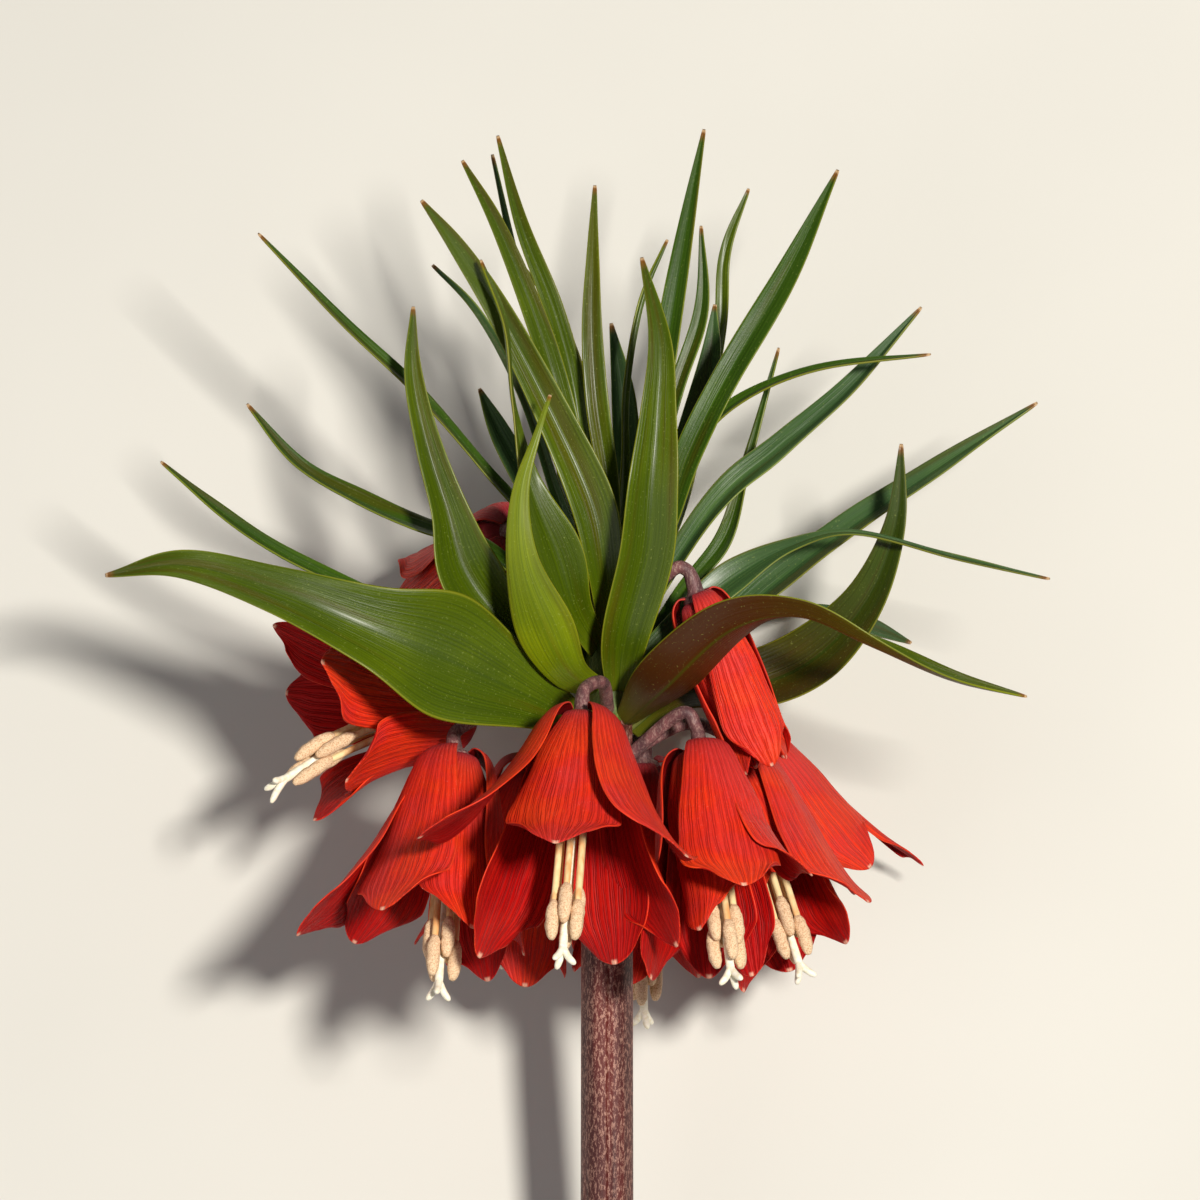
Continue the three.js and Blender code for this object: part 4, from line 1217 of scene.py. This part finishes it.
class CROWN_OT_leaves(bpy.types.Operator):
    """Makes the tuft of leaves over the bells"""

    bl_idname = "crown.leaves"
    bl_label = "Leaves"

    def execute(self, context):
        settings = context.scene.crown_settings
        finishes = {}
        for tint in ("sun", "shade", "blue"):
            blade = (*getattr(settings, "leaf_" + tint), 1)
            finishes[tint] = (
                leaf_finish("leaf upper " + tint, blade, rough=0.24),
                leaf_finish("leaf under " + tint, tinted(blade, 2.5, 2.1, 0.6), rough=0.36),
            )
        # the arching leaf's underside, warmed and browned as a painted red reflection of the bells
        under = tinted((*settings.leaf_sun, 1), 1.1, 0.8, 0.8)
        reflected_red_under = leaf_finish("leaf under bronze", under, rough=0.34, bronze_and_reflection=0.9)
        finishes["bronze_and_reflection"] = (finishes["sun"][0], reflected_red_under)
        dusky = tinted((*settings.leaf_shade, 1), 1.1, 0.8, 0.8)
        rusted = leaf_finish("leaf upper rusty", dusky, rough=0.3, bronze_and_reflection=0.5)
        finishes["rusty"] = (rusted, finishes["shade"][1])
        for name, leaf in LEAVES.items():
            tint = leaf.get("tint", "sun")
            sides = finishes[leaf.get("sides", tint)]
            node = "leaf_" + name
            leaf_shape(node, leaf).piece(
                node + "_blade", node, "leaf_" + tint, sides, settings.leaf_blade
            )
        return {"FINISHED"}


class CROWN_OT_stage(bpy.types.Operator):
    """Sets the pale floor, the soft lights and the camera"""

    bl_idname = "crown.stage"
    bl_label = "Stage"

    def execute(self, context):
        scene = context.scene
        mesh = bmesh.new()
        bmesh.ops.create_grid(mesh, x_segments=1, y_segments=1, size=HALF_FLOOR)
        data = bpy.data.meshes.new("floor")
        mesh.to_mesh(data)
        mesh.free()
        floor = bpy.data.objects.new("floor", data)
        scene.collection.objects.link(floor)
        made = Finish("floor paper", Roughness=0.9)
        mottle = made.grainy(made.object_place(), 9.0, 2.0)
        paper = made.mix(mottle, colour("dad8d3"), colour("d2d0cb"))
        data.materials.append(made.surface(Base_Color=paper))

        self.light("key", *KEY_LIGHT)
        self.light("fill", *FILL_LIGHT)
        world = scene.world or bpy.data.worlds.new("studio")
        scene.world = world
        world.use_nodes = True
        background = world.node_tree.nodes["Background"]
        background.inputs["Color"].default_value = SKY_COLOUR
        background.inputs["Strength"].default_value = SKY_STRENGTH

        lens = bpy.data.cameras.new("camera")
        lens.lens = CAMERA_LENS
        lens.sensor_width = SENSOR_WIDTH
        lens.clip_end = 20
        camera = bpy.data.objects.new("camera", lens)
        scene.collection.objects.link(camera)
        camera.matrix_world = PLACE @ Matrix.Translation(AIM + Vector((0, 0, CAMERA_HEIGHT)))
        scene.camera = camera
        scene.view_settings.view_transform = "Standard"
        return {"FINISHED"}

    def light(self, name, place, size, power, tint):
        """A round soft light that hangs at a place in the plant's frame and looks at the plant."""
        lamp = bpy.data.lights.new(name, "AREA")
        lamp.shape = "DISK"
        lamp.size = size
        lamp.energy = power
        lamp.color = tint
        made = bpy.data.objects.new(name, lamp)
        bpy.context.scene.collection.objects.link(made)
        made.location = PLACE @ Vector(place)
        made.rotation_euler = (PLACE @ AIM - made.location).to_track_quat("-Z", "Y").to_euler()


class CROWN_PT_panel(bpy.types.Panel):
    """Lists the settings and the pieces"""

    bl_idname = "CROWN_PT_panel"
    bl_label = "Crown Imperial"
    bl_space_type = "VIEW_3D"
    bl_region_type = "UI"
    bl_category = "Crown"

    def draw(self, context):
        settings = context.scene.crown_settings
        for name in CrownSettings.__annotations__:
            self.layout.prop(settings, name)
        for operator in OPERATORS:
            self.layout.operator(operator.bl_idname)


OPERATORS = (CROWN_OT_stem, CROWN_OT_bells, CROWN_OT_stamens, CROWN_OT_leaves, CROWN_OT_stage)
CLASSES = (CrownSettings, *OPERATORS, CROWN_PT_panel)


def register():
    for made in CLASSES:
        bpy.utils.register_class(made)
    bpy.types.Scene.crown_settings = bpy.props.PointerProperty(type=CrownSettings)


def unregister():
    del bpy.types.Scene.crown_settings
    for made in reversed(CLASSES):
        bpy.utils.unregister_class(made)


def main():
    register()
    bpy.ops.crown.stem()
    bpy.ops.crown.bells()
    bpy.ops.crown.stamens()
    bpy.ops.crown.leaves()
    bpy.ops.crown.stage()


if __name__ == "__main__":
    main()
